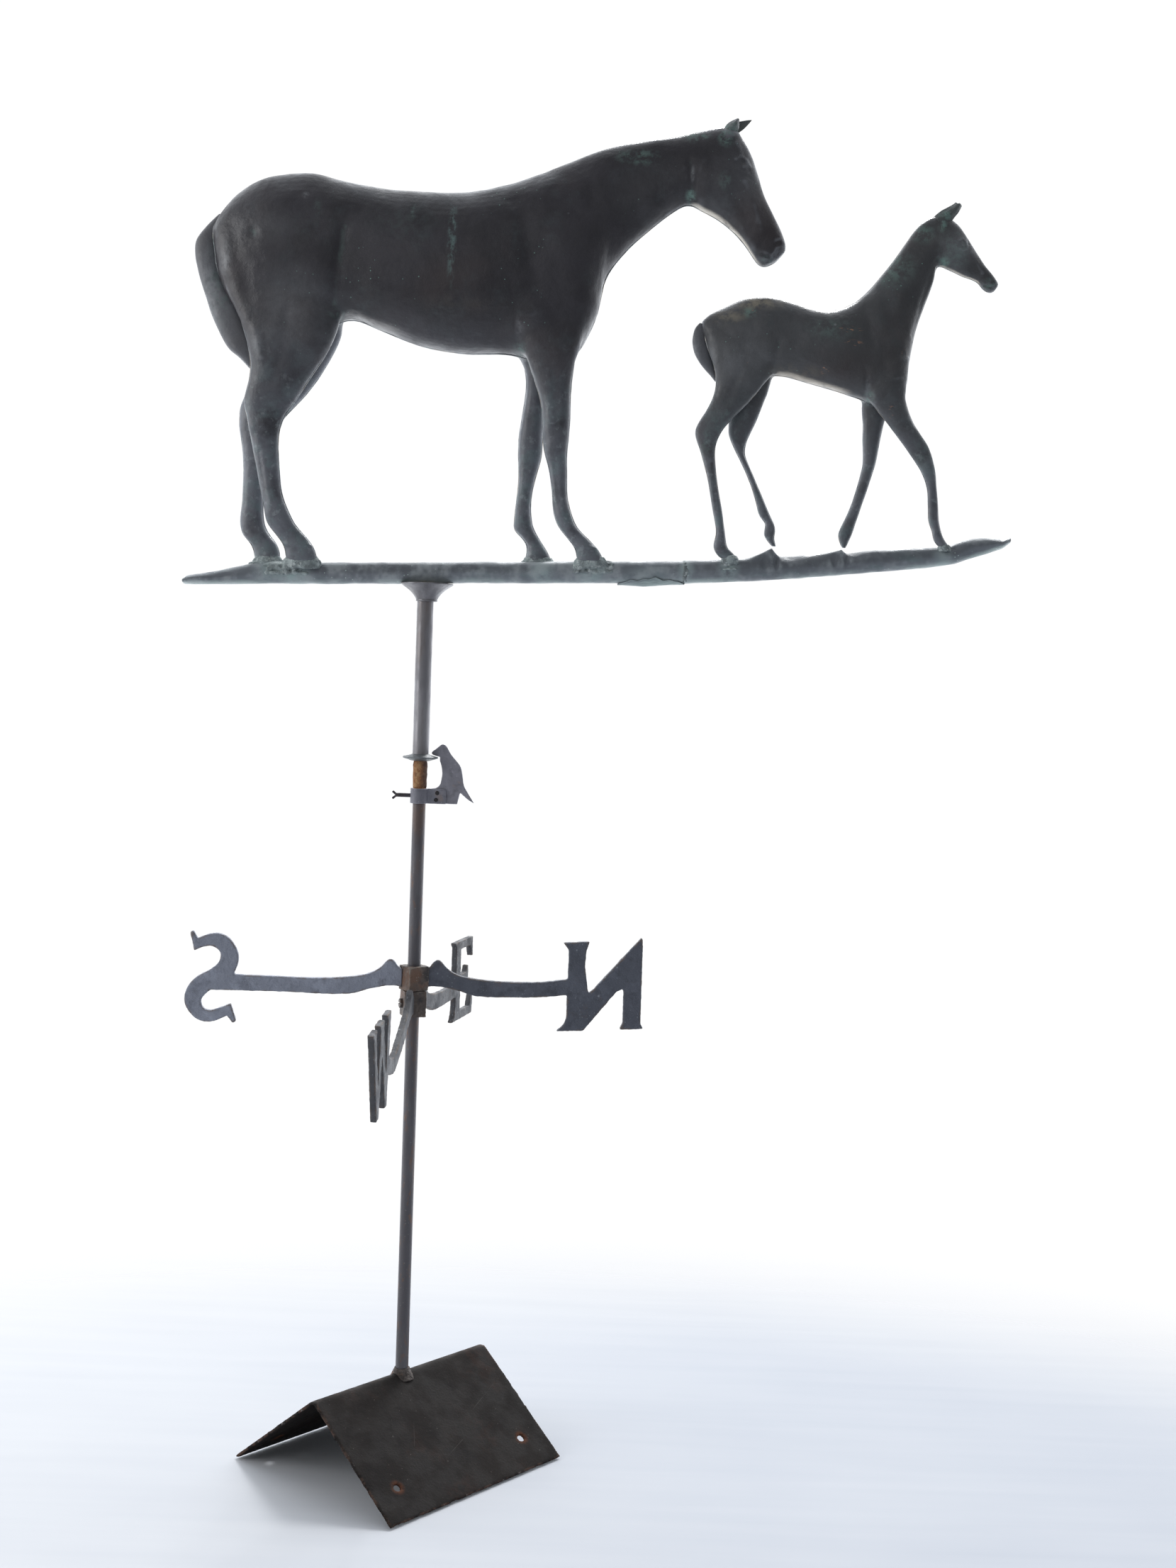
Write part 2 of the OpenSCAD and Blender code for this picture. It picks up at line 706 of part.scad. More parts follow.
// Thumb screw: shank along -X and two wings at its outer end
module keeper_screw() {
  shank_from = rod_r + 0.3;
  shank_to = 23.5;
  color("#2c2b31")
    translate([0, 0, thumb_z])
      union() {
        translate([-shank_from, 0, 0])
          rotate([0, -90, 0])
            cylinder(r = thumb_r, h = shank_to - shank_from);
        for (turn = [0, 180])
          rotate([turn, 0, 0])
            translate([-shank_to + 0.8, -1, 0])
              rotate([0, -50, 0])
                translate([-0.6, 0, 0])
                  cube([2.2, 2, 5]);
      }
}

/* Rotor */

module rotor_tube() {
  color("#45413f")
    difference() {
      translate([0, 0, tube_foot_z])
        cylinder(r = tube_r, h = tube_top_z - tube_foot_z);
      translate([0, 0, tube_foot_z - 1])
        cylinder(r = tube_bore, h = tube_top_z - tube_foot_z + 2);
    }
}

// Dished washer soldered round the foot of the tube
module tube_flange() {
  color("#3f4244")
    rotate_extrude()
      polygon([
        [tube_r, tube_foot_z], [tube_r + 1, tube_foot_z], [flange_r, 697.2], [flange_r, 698.4],
        [tube_r + 1.2, 700.6], [tube_r, 701.4]
      ]);
}

module lower_bush() {
  color("#8a6a3c")
    difference() {
      translate([0, 0, tube_foot_z])
        cylinder(r = tube_bore, h = 14);
      translate([0, 0, tube_foot_z - 1])
        cylinder(r = rod_r + run_gap, h = 16);
    }
}

module rotor_cap() {
  color("#8a6a3c")
    translate([0, 0, cap_z])
      cylinder(r = tube_bore, h = tube_top_z - cap_z);
}

// Spun sheet funnel that spreads the tube's load over the bar
module funnel() {
  rim_r = 26;
  rim_z = bar_z - bar_r;
  sheet = 1.2;
  flare = spline([[rim_r, -sheet], [17.5, -5.5], [12, -10.5], [9.8, -14]]);
  color("#3c3d3c")
    difference() {
      translate([2, 0, rim_z])
        rotate([0, -bar_tilt, 0])
          rotate_extrude()
            difference() {
              polygon(concat([[0, 0], [rim_r, 0]], flare, [[9.8, -16.4], [0, -16.4]]));
              polygon(concat([[0, -sheet]], [for (p = flare) [max(p[0] - sheet * 1.6, 0), p[1]]], [[0, -14]]));
            }
      translate([0, 0, tube_foot_z])
        cylinder(r = tube_r, h = tube_top_z - tube_foot_z);
    }
}

/* Ground bar */

// A slice across the bar: middle x and z, half width across, half height
module bar_slice(x, z, half_y, half_z) {
  translate([x, 0, z])
    rotate([0, 90, 0])
      linear_extrude(0.2, center = true)
        scale([half_z, half_y])
          circle(1, $fn = 24);
}

module flattened_end(slices) {
  for (i = [0:len(slices) - 2])
    hull() {
      bar_slice(slices[i][0], slices[i][1], slices[i][2], slices[i][3]);
      bar_slice(slices[i + 1][0], slices[i + 1][1], slices[i + 1][2], slices[i + 1][3]);
    }
}

module bar_left() {
  start_z = bar_z + bar_left_x * tan(bar_tilt);
  run = (splice_x - bar_left_x) / cos(bar_tilt);
  color(patina)
    union() {
      translate([bar_left_x, 0, start_z])
        rotate([0, 90 - bar_tilt, 0])
          difference() {
            cylinder(r = bar_r, h = run);
            translate([0, 0, 4])
              cylinder(r = bar_r - bar_wall, h = run);
          }
      flattened_end([
        [bar_left_x + 1.5, start_z, bar_r - 0.25, bar_r - 0.25], [-187, 867.4, 12.5, 7.6],
        [-207, 863, 14.5, 4.4], [-234, 858.8, 15, 0.8]
      ]);
    }
}

module bar_right() {
  color(patina)
    union() {
      translate([splice_x, 0, splice_z])
        rotate([0, 90 - right_tilt, 0])
          difference() {
            translate([0, 0, joint_gap])
              cylinder(r = bar_r, h = right_len - joint_gap);
            translate([0, 0, -4])
              cylinder(r = bar_r - bar_wall, h = right_len);
          }
      flattened_end(right_end);
      // Copper torn up under the two hooves that came away
      for (peak = [[333, 13.6], [402, 8.4]])
        translate([peak[0], 5, splice_z + (peak[0] - splice_x) * tan(right_tilt) + 6])
          cylinder(r1 = 8, r2 = 0.6, h = peak[1]);
    }
}

// Saddle patch soldered under the joint of the two lengths
module bar_splice() {
  patch_len = 62;
  color("#6d8478")
    difference() {
      union() {
        translate([splice_x, 0, splice_z])
          rotate([0, 90 - bar_tilt, 0])
            translate([0, 0, -6])
              cylinder(r = bar_r + 0.9, h = 6);
        translate([splice_x, 0, splice_z])
          rotate([0, 90 - bar_tilt, 0])
            translate([0, 0, -patch_len])
              difference() {
                translate([1.6, 0, 0])
                  cylinder(r = bar_r + 1.4, h = patch_len - 2);
                translate([-39, -20, -1])
                  cube([40, 40, patch_len]);
              }
      }
      translate([splice_x, 0, splice_z])
        rotate([0, 90 - bar_tilt, 0])
          translate([0, 0, -80])
            cylinder(r = bar_r + 0.02, h = 90);
    }
}

/* Mare and foal */

module mare_near_shell() {
  color(copper)
    half_shell(mare_body, [mare_near_hind, mare_near_fore], -1);
}

module mare_far_shell() {
  color(copper)
    half_shell(mare_body, [mare_far_hind, mare_far_fore], 1);
}

module mare_tail() {
  color(copper)
    difference() {
      loft(mare_tail_line, leg_sides);
      loft(mare_body, body_sides);
      loft(mare_near_hind, leg_sides);
      loft(mare_far_hind, leg_sides);
    }
}

module mare_ears() {
  color(patina)
    difference() {
      union() {
        ear([272.5, 1308], [281.5, 1302], [284, 1318], -8.5, 4);
        ear([272, 1311], [284, 1304], [298.3, 1320.8], 8.5, 4);
      }
      loft(mare_body, body_sides);
    }
}

module mare_hoof_solder() {
  color(patina)
    difference() {
      union() {
        solder_blob(-124, -8, 884, 20, 10, 5.5);
        solder_blob(-153, 8, 883, 18, 10, 5);
        solder_blob(159, -8, 893.5, 18, 10, 5);
        solder_blob(108, 8, 892, 18, 10, 5);
      }
      translate([bar_left_x, 0, bar_z + bar_left_x * tan(bar_tilt)])
        rotate([0, 90 - bar_tilt, 0])
          cylinder(r = bar_r + 0.02, h = 440, $fn = 96);
      for (leg = [mare_near_hind, mare_far_hind, mare_near_fore, mare_far_fore])
        loft(leg, leg_sides);
    }
}

module foal_near_shell() {
  color(copper)
    half_shell(foal_body, [foal_near_hind, foal_near_fore], -1);
}

module foal_far_shell() {
  color(copper)
    half_shell(foal_body, [foal_far_hind, foal_far_fore], 1);
}

module foal_tail() {
  color(copper)
    difference() {
      loft(foal_tail_line, leg_sides);
      loft(foal_body, body_sides);
      loft(foal_near_hind, leg_sides);
      loft(foal_far_hind, leg_sides);
    }
}

module foal_ears() {
  color(patina)
    difference() {
      union() {
        ear([477.5, 1233], [489.5, 1227.5], [499.8, 1246.4], -5.5, 3);
        ear([476, 1232], [487, 1228], [495, 1245], 5.5, 3);
      }
      loft(foal_body, body_sides);
    }
}

module foal_hoof_solder() {
  color(patina)
    difference() {
      union() {
        solder_blob(293, -6.5, 899, 11, 8, 4);
        solder_blob(500, -6.5, 919.5, 9, 7, 3.5);
      }
      translate([splice_x, 0, splice_z])
        rotate([0, 90 - right_tilt, 0])
          cylinder(r = bar_r + 0.02, h = right_len, $fn = 96);
      flattened_end([for (s = right_end) [s[0], s[1], s[2] + 0.05, s[3] + 0.05]]);
      for (leg = [foal_near_hind, foal_near_fore])
        loft(leg, leg_sides);
    }
}

ridge_saddle();
saddle_weld();
mast_rod();
pivot_ball();
ns_hub();
north_arm();
south_arm();
ns_set_screw();
ew_hub();
east_arm();
west_arm();
ew_set_screw();
keeper_collar();
keeper_figure();
keeper_rivets();
keeper_screw();
rotor_tube();
tube_flange();
lower_bush();
rotor_cap();
funnel();
bar_left();
bar_right();
bar_splice();
mare_near_shell();
mare_far_shell();
mare_tail();
mare_ears();
mare_hoof_solder();
foal_near_shell();
foal_far_shell();
foal_tail();
foal_ears();
foal_hoof_solder();
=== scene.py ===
import json
import math

import bmesh
import bpy
import numpy as np
from mathutils import Matrix, Vector, noise
from mathutils.bvhtree import BVHTree

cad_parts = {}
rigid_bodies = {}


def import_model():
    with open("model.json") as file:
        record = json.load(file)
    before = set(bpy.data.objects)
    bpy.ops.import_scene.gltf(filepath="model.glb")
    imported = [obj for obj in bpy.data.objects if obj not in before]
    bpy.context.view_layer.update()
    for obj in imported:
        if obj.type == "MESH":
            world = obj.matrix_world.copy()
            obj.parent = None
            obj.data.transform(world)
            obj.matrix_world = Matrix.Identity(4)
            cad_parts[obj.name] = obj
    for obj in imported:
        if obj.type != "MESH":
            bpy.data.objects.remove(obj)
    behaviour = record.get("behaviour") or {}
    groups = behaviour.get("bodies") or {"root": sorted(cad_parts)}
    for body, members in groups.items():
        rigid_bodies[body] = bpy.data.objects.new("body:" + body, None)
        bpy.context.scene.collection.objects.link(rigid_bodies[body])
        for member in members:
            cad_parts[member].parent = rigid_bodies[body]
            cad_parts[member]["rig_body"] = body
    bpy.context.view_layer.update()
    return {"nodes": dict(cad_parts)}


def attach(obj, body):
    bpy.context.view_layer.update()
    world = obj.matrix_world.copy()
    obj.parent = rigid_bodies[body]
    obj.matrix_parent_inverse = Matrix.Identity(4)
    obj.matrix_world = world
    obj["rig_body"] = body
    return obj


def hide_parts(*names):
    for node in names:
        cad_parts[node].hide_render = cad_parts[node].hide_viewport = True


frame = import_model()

NODES = frame["nodes"]
MM = 0.001


# ---------------------------------------------------------------- camera, light, floor

def add_node(nt, kind, *sources, **settings):
    """A shader node; sources go to its inputs in order: a socket is linked, None is passed over, a value is set."""
    node = nt.nodes.new("ShaderNode" + kind)
    for key, value in settings.items():
        setattr(node, key, value)
    for socket, source in zip(node.inputs, sources):
        if isinstance(source, bpy.types.NodeSocket):
            nt.links.new(source, socket)
        elif source is not None:
            socket.default_value = source
    return node


def range_of(nt, value, lo, hi, to_lo=0.0, to_hi=1.0, shape="SMOOTHSTEP"):
    return add_node(nt, "MapRange", value, lo, hi, to_lo, to_hi, interpolation_type=shape).outputs["Result"]


def mixed_colour(nt, factor, first, second):
    node = add_node(nt, "Mix", data_type="RGBA")
    for index, source in ((0, factor), (6, first), (7, second)):
        if isinstance(source, tuple):
            node.inputs[index].default_value = (*source, 1)
        else:
            nt.links.new(source, node.inputs[index])
    return node


def add_camera():
    data = bpy.data.cameras.new("camera")
    data.sensor_width = 36.0
    data.lens = 43.57
    data.clip_start = 0.05
    data.clip_end = 100.0
    cam = bpy.data.objects.new("camera", data)
    bpy.context.scene.collection.objects.link(cam)
    cam.matrix_world = (
        Matrix.Translation((0.164, -1.848, 0.776))
        @ Matrix.Rotation(math.radians(86.95), 4, "X")
        @ Matrix.Rotation(math.radians(2.03), 4, "Z")
    )
    bpy.context.scene.camera = cam


def add_world():
    """White behind the object; the light itself is dim in front, bright behind and above."""
    bpy.context.scene.view_settings.view_transform = "Standard"
    world = bpy.data.worlds.new("studio")
    bpy.context.scene.world = world
    world.use_nodes = True
    nt = world.node_tree
    nt.nodes.clear()
    coord = add_node(nt, "TexCoord")
    brightest = Vector((0.0, 1.0, 0.06)).normalized()
    dot = add_node(nt, "VectorMath", coord.outputs["Generated"], brightest, operation="DOT_PRODUCT")
    strength = range_of(nt, dot.outputs["Value"], -0.55, 0.85, 0.25, 2.15)
    light = add_node(nt, "Background", (0.92, 0.955, 1.0, 1.0), strength)
    seen = add_node(nt, "Background", (1.0, 1.0, 1.0, 1.0), 1.02)
    path = add_node(nt, "LightPath")
    mix = add_node(nt, "MixShader", path.outputs["Is Camera Ray"], light.outputs[0], seen.outputs[0])
    add_node(nt, "OutputWorld", mix.outputs[0])


def area_light(name, place, target, size, watts):
    data = bpy.data.lights.new(name, "AREA")
    data.shape = "RECTANGLE"
    data.size, data.size_y = size
    data.energy = watts
    ob = bpy.data.objects.new(name, data)
    bpy.context.scene.collection.objects.link(ob)
    ob.location = place
    ob.rotation_euler = (Vector(target) - Vector(place)).to_track_quat("-Z", "Y").to_euler()


def add_floor():
    """A pale table that melts into the white behind it: clear from about 0.8 m behind the object."""
    bm = bmesh.new()
    bmesh.ops.create_circle(bm, cap_ends=True, segments=128, radius=4.0)
    mesh = bpy.data.meshes.new("floor")
    bm.to_mesh(mesh)
    bm.free()
    ob = bpy.data.objects.new("floor", mesh)
    bpy.context.scene.collection.objects.link(ob)
    ob.location.z = -0.0004
    mat = bpy.data.materials.new("floor")
    mat.use_nodes = True
    nt = mat.node_tree
    bsdf = nt.nodes["Principled BSDF"]
    bsdf.inputs["Roughness"].default_value = 0.75
    bsdf.inputs["Specular IOR Level"].default_value = 0.12
    place = add_node(nt, "TexCoord").outputs["Object"]
    smudge = add_node(nt, "TexNoise", place, None, 3.2, 5.0)
    stretch = add_node(nt, "Mapping", place, None, (0.0, 0.0, 0.45), (0.5, 7.0, 1.0))
    line = add_node(nt, "TexNoise", stretch.outputs["Vector"], None, 5.0, 7.0)
    total = add_node(nt, "Math", smudge.outputs["Fac"], line.outputs["Fac"], operation="ADD")
    cloudy = range_of(nt, total.outputs[0], 0.65, 1.35, shape="LINEAR")
    sides = add_node(nt, "SeparateXYZ", place)
    # painted light: the floor colour grows lighter towards the left, a painted pool of light
    painted_light_leftward = range_of(nt, sides.outputs["X"], 0.35, -0.75, 0.0, 3.0, "LINEAR")
    both = add_node(nt, "Math", cloudy, painted_light_leftward, operation="ADD")
    tone = mixed_colour(nt, both.outputs[0], (0.420, 0.442, 0.486), (0.462, 0.480, 0.516))
    tone.clamp_factor = False
    nt.links.new(tone.outputs[2], bsdf.inputs["Base Color"])
    away = add_node(nt, "VectorMath", place, (0.1, -0.9, 0.0), operation="SUBTRACT")
    length = add_node(nt, "VectorMath", away.outputs[0], operation="LENGTH")
    fade = range_of(nt, length.outputs["Value"], 1.10, 1.85, shape="SMOOTHERSTEP")
    clear = add_node(nt, "BsdfTransparent")
    mix = add_node(nt, "MixShader", fade, bsdf.outputs[0], clear.outputs[0])
    nt.links.new(mix.outputs[0], nt.nodes["Material Output"].inputs["Surface"])
    mesh.materials.append(mat)


add_camera()
add_world()
area_light("key", (0.6, 1.9, 2.8), (0.05, 0.0, 0.1), (0.9, 0.7), 66)
area_light("side", (-2.3, -0.8, 1.4), (0.0, 0, 1.0), (1.5, 2.0), 30)
area_light("fill", (-0.6, -2.6, 1.9), (0.1, 0, 0.9), (1.6, 1.6), 4)
add_floor()


# ---------------------------------------------------------------- materials

class Paint:
    """A Principled material laid up in coats: masks made of noise, places or mesh attributes tint the colour."""

    def __init__(self, name, colour, rough=0.5, metallic=0.0, specular=0.4, gain=1.0):
        self.gain = gain
        self.mat = bpy.data.materials.new(name)
        self.mat.use_nodes = True
        self.nt = self.mat.node_tree
        self.bsdf = self.nt.nodes["Principled BSDF"]
        self.bsdf.inputs["Metallic"].default_value = metallic
        self.bsdf.inputs["Specular IOR Level"].default_value = specular
        self.coord = self.add("TexCoord").outputs["Object"]
        self.colour = self._lit(colour)
        self.rough = rough
        self.height = None

    def add(self, kind, *sources, **settings):
        return add_node(self.nt, kind, *sources, **settings)

    def _lit(self, colour):
        return tuple(min(0.9, c * self.gain) for c in colour)

    def _mapped(self, scale, shift):
        return self.add("Mapping", self.coord, shift, None, scale).outputs["Vector"]

    def noise(self, scale, lo=0.0, hi=1.0, detail=4.0, rough=0.55, stretch=(1, 1, 1), seed=0.0):
        vector = self._mapped(stretch, (seed, seed * 0.7, seed * 1.3))
        node = self.add("TexNoise", vector, None, scale, detail, rough)
        return range_of(self.nt, node.outputs["Fac"], lo, hi)

    def specks(self, scale, size, seed=0.0, keep=0.35):
        """Small round spots; keep is the share of cells that hold one."""
        node = self.add("TexVoronoi", self._mapped((1, 1, 1), (seed, seed, seed)), None, scale)
        spot = range_of(self.nt, node.outputs["Distance"], size, size * 0.55)
        parts = self.add("SeparateColor", node.outputs["Color"])
        return self.times(spot, range_of(self.nt, parts.outputs[0], 1 - keep, 1 - keep * 0.6))

    def cracks(self, scale, width, seed, stretch):
        vector = self._mapped(stretch, (seed, seed, seed))
        node = self.add("TexVoronoi", vector, None, scale, feature="DISTANCE_TO_EDGE")
        return range_of(self.nt, node.outputs["Distance"], width, 0.0)

    def attribute(self, name, lo=0.0, hi=1.0):
        return range_of(self.nt, self.add("Attribute", attribute_name=name).outputs["Fac"], lo, hi)

    def place(self, centre, radii, soft=0.6):
        """1 inside an ellipsoid at centre, in millimetres, falling to 0 at its skin."""
        shift = self.add("VectorMath", self.coord, [c * MM for c in centre], operation="SUBTRACT")
        size = [r * MM for r in radii]
        unit = self.add("Mapping", shift.outputs[0], None, None, size, vector_type="TEXTURE")
        length = self.add("VectorMath", unit.outputs["Vector"], operation="LENGTH")
        return range_of(self.nt, length.outputs["Value"], 1.0, 1.0 - soft)

    def facing(self, axis, lo, hi):
        geo = self.add("NewGeometry")
        dot = self.add("VectorMath", geo.outputs["Normal"], axis, operation="DOT_PRODUCT")
        return range_of(self.nt, dot.outputs["Value"], lo, hi)

    def times(self, *masks):
        out = masks[0]
        for m in masks[1:]:
            out = self.add("Math", out, m, operation="MULTIPLY").outputs[0]
        return out

    def tint(self, mask, colour, amount=1.0):
        factor = self.times(mask, amount) if amount != 1.0 else mask
        self.colour = mixed_colour(self.nt, factor, self.colour, self._lit(colour)).outputs[2]

    def roughen(self, mask, value):
        self.rough = self.add("Mix", mask, None, self.rough, value, data_type="FLOAT").outputs[0]

    def raise_by(self, mask, amount):
        part = self.times(mask, amount)
        if self.height is not None:
            part = self.add("Math", self.height, part, operation="ADD").outputs[0]
        self.height = part

    def done(self, bump=1.0, distance=0.001):
        for key, source in (("Base Color", self.colour), ("Roughness", self.rough)):
            if isinstance(source, float):
                self.bsdf.inputs[key].default_value = source
            else:
                self.nt.links.new(source, self.bsdf.inputs[key])
        node = self.add("Bump")
        node.inputs["Strength"].default_value = bump
        node.inputs["Distance"].default_value = distance
        self.nt.links.new(self.height, node.inputs["Height"])
        self.nt.links.new(node.outputs[0], self.bsdf.inputs["Normal"])
        return self.mat


VERDIGRIS = (0.150, 0.255, 0.225)
PALE_GREEN = (0.36, 0.45, 0.41)


def copper_material(name, base, teal_places=(), pale_spots_and_highlights=(), tan_places=(), streaks=(), scratch=(), painted_underside_glow=(),
                    legs=None):
    """Old brown-black copper with teal verdigris in hollows and worn, greyer ridges; it also carries painted light:
    painted highlights, a lighter top, lighter legs as painted glare and a painted floor reflection on undersides.
    """
    p = Paint(name, base, 0.34, 0.0, 0.48)
    p.tint(p.noise(14, 0.42, 0.66, 5, 0.6, seed=1.1), tuple(c * 1.55 for c in base), 0.75)
    p.tint(p.noise(32, 0.50, 0.72, 5, 0.6, seed=4.2), tuple(c * 0.66 for c in base), 0.45)
    p.tint(p.noise(9, 0.52, 0.72, 4, 0.5, seed=2.7), (0.052, 0.038, 0.038), 0.50)
    p.tint(p.times(p.noise(22, 0.50, 0.70, 6, 0.65, seed=7.5), p.noise(120, 0.35, 0.7, 3, 0.6, seed=3.1)),
           (0.052, 0.066, 0.072), 0.50)
    p.tint(p.times(p.specks(260, 0.20, 2.0, keep=0.16), p.noise(16, 0.50, 0.62, 3, seed=5.0)), VERDIGRIS, 0.8)
    p.tint(p.times(p.attribute("hollow", 0.30, 0.95), p.noise(70, 0.35, 0.65, 3)), (0.075, 0.115, 0.105), 0.65)
    p.tint(p.times(p.attribute("ridge", 0.25, 0.9), p.noise(60, 0.35, 0.62, 4, seed=2.0)), (0.175, 0.185, 0.205),
           0.65)
    for centre, radii, amount in teal_places:
        m = p.times(p.place(centre, radii, 0.9), p.noise(150, 0.40, 0.62, 5, 0.7, seed=centre[0] * 0.01))
        p.tint(m, VERDIGRIS, amount)
        p.roughen(m, 0.75)
    # partly pale worn spots, partly painted highlights: the buttock, thigh, elbow and jaw-crease lines and the broad
    # sheen on the flanks and haunch
    for centre, radii, amount in pale_spots_and_highlights:
        fine = (110, 0.34, 0.58) if radii[0] < 30 else (26, 0.10, 0.80)
        m = p.times(p.place(centre, radii, 0.95), p.noise(*fine, 5, 0.7, seed=centre[2] * 0.01))
        p.tint(m, (0.205, 0.213, 0.228), amount)
    for centre, radii, amount in tan_places:
        m = p.times(p.place(centre, radii, 0.9), p.noise(85, 0.36, 0.60, 5, 0.7, seed=1.7))
        p.tint(m, (0.25, 0.225, 0.175), amount)
        p.roughen(m, 0.8)
    for centre, radii in scratch:
        m = p.times(p.place(centre, radii, 0.9), p.noise(420, 0.56, 0.66, 2, 0.6, (0.45, 1, 1.6), 9.0))
        p.tint(m, (0.42, 0.22, 0.13), 0.75)
    for z_top, z_low, x, wide in streaks:
        body = p.place((x, 0, (z_top + z_low) / 2), (wide, 300, (z_top - z_low) / 2), 0.75)
        m = p.times(body, p.noise(230, 0.45, 0.64, 5, 0.75, (1, 1, 0.5), 0.4))
        p.tint(m, (0.150, 0.235, 0.225), 0.60)
        p.roughen(m, 0.8)
    if legs:
        low, high = legs
        # painted glare: the lower legs are tinted a lighter grey; the teal, dark and pale noise over them is patina
        # and wear
        leg_glare_tone = (0.140, 0.149, 0.172)
        sep = p.add("SeparateXYZ", p.coord)
        fall = range_of(p.nt, sep.outputs["Z"], high * MM, low * MM)
        p.tint(p.times(fall, p.noise(34, 0.20, 0.56, 5, 0.6, seed=6.6)), leg_glare_tone, 0.85)
        # painted light: the front-facing (-y) faces of the far legs get a lighter, lit copy of the leg tone
        far = p.times(range_of(p.nt, sep.outputs["Y"], 2 * MM, 12 * MM), p.facing((0, -1, 0), -0.1, 0.35))
        lower = range_of(p.nt, sep.outputs["Z"], high * MM, (high - 40) * MM)
        p.tint(p.times(far, lower), tuple(c * 1.55 for c in leg_glare_tone), 0.75)
        p.tint(p.times(fall, p.noise(52, 0.46, 0.64, 5, 0.65, seed=3.4)), (0.130, 0.178, 0.186), 0.60)
        p.tint(p.times(fall, p.noise(75, 0.50, 0.66, 5, 0.65, seed=8.8)), (0.070, 0.074, 0.086), 0.50)
        p.tint(p.times(fall, p.noise(130, 0.56, 0.68, 4, 0.65, seed=5.1)), (0.27, 0.30, 0.315), 0.45)
    # painted top light: upward-facing surfaces are tinted a lighter grey
    p.tint(p.times(p.facing((0, 0, 1), 0.35, 0.95), p.noise(26, 0.38, 0.6, 4)), (0.135, 0.142, 0.156), 0.55)
    # painted reflection: a pale cream tint on undersides that face the floor, a painted floor glow under the jaw and
    # belly
    for centre, radii, axis, colour in painted_underside_glow:
        under = p.times(p.place(centre, radii, 0.35), p.facing(axis, 0.76, 0.94))
        p.tint(p.times(under, p.noise(60, 0.20, 0.55, 4, seed=2.0)), colour, 0.85)
    p.roughen(p.noise(40, 0.40, 0.66, 4, seed=2.2), 0.54)
    p.raise_by(p.noise(900, 0.2, 0.8, 3, 0.7), 0.25)
    p.raise_by(p.noise(180, 0.3, 0.7, 4, 0.6), 0.55)
    p.raise_by(p.noise(55, 0.3, 0.7, 3, 0.5), 0.9)
    return p.done(0.22, 0.0012)


def crust_material(name, light=1.0):
    """Lumpy solder, grey with pale green and white corrosion."""
    p = Paint(name, (0.165 * light, 0.190 * light, 0.196 * light), 0.7, 0.0, 0.3)
    p.tint(p.noise(70, 0.40, 0.60, 5, 0.7), (0.35 * light, 0.41 * light, 0.41 * light), 0.85)
    p.tint(p.noise(160, 0.50, 0.64, 5, 0.7, seed=3.0), (0.52 * light, 0.57 * light, 0.57 * light), 0.8)
    p.tint(p.noise(45, 0.54, 0.68, 4, seed=5.0), (0.100, 0.118, 0.122), 0.4)
    # painted shade: hollows between the lumps are darkened
    p.tint(p.attribute("hollow", 0.3, 0.95), (0.10, 0.12, 0.12), 0.3)
    p.tint(p.specks(420, 0.28, 1.0, keep=0.3), (0.62, 0.66, 0.60), 0.7)
    p.raise_by(p.noise(420, 0.25, 0.75, 5, 0.75), 0.8)
    p.raise_by(p.noise(130, 0.3, 0.7, 4, 0.6), 0.7)
    return p.done(0.55, 0.0010)


def seam_material():
    p = Paint("seam_solder", (0.27, 0.285, 0.305), 0.30, 0.75, 0.5)
    p.tint(p.noise(120, 0.42, 0.62, 4), (0.26, 0.28, 0.28), 0.7)
    p.tint(p.noise(60, 0.50, 0.66, 4, seed=4.0), (0.050, 0.052, 0.055), 0.8)
    p.tint(p.noise(90, 0.55, 0.66, 4, seed=8.0), VERDIGRIS, 0.5)
    p.tint(p.noise(30, 0.48, 0.62, 4, seed=2.0), (0.36, 0.30, 0.23), 0.6)
    p.raise_by(p.noise(600, 0.3, 0.7, 3), 0.6)
    return p.done(0.4, 0.0008)


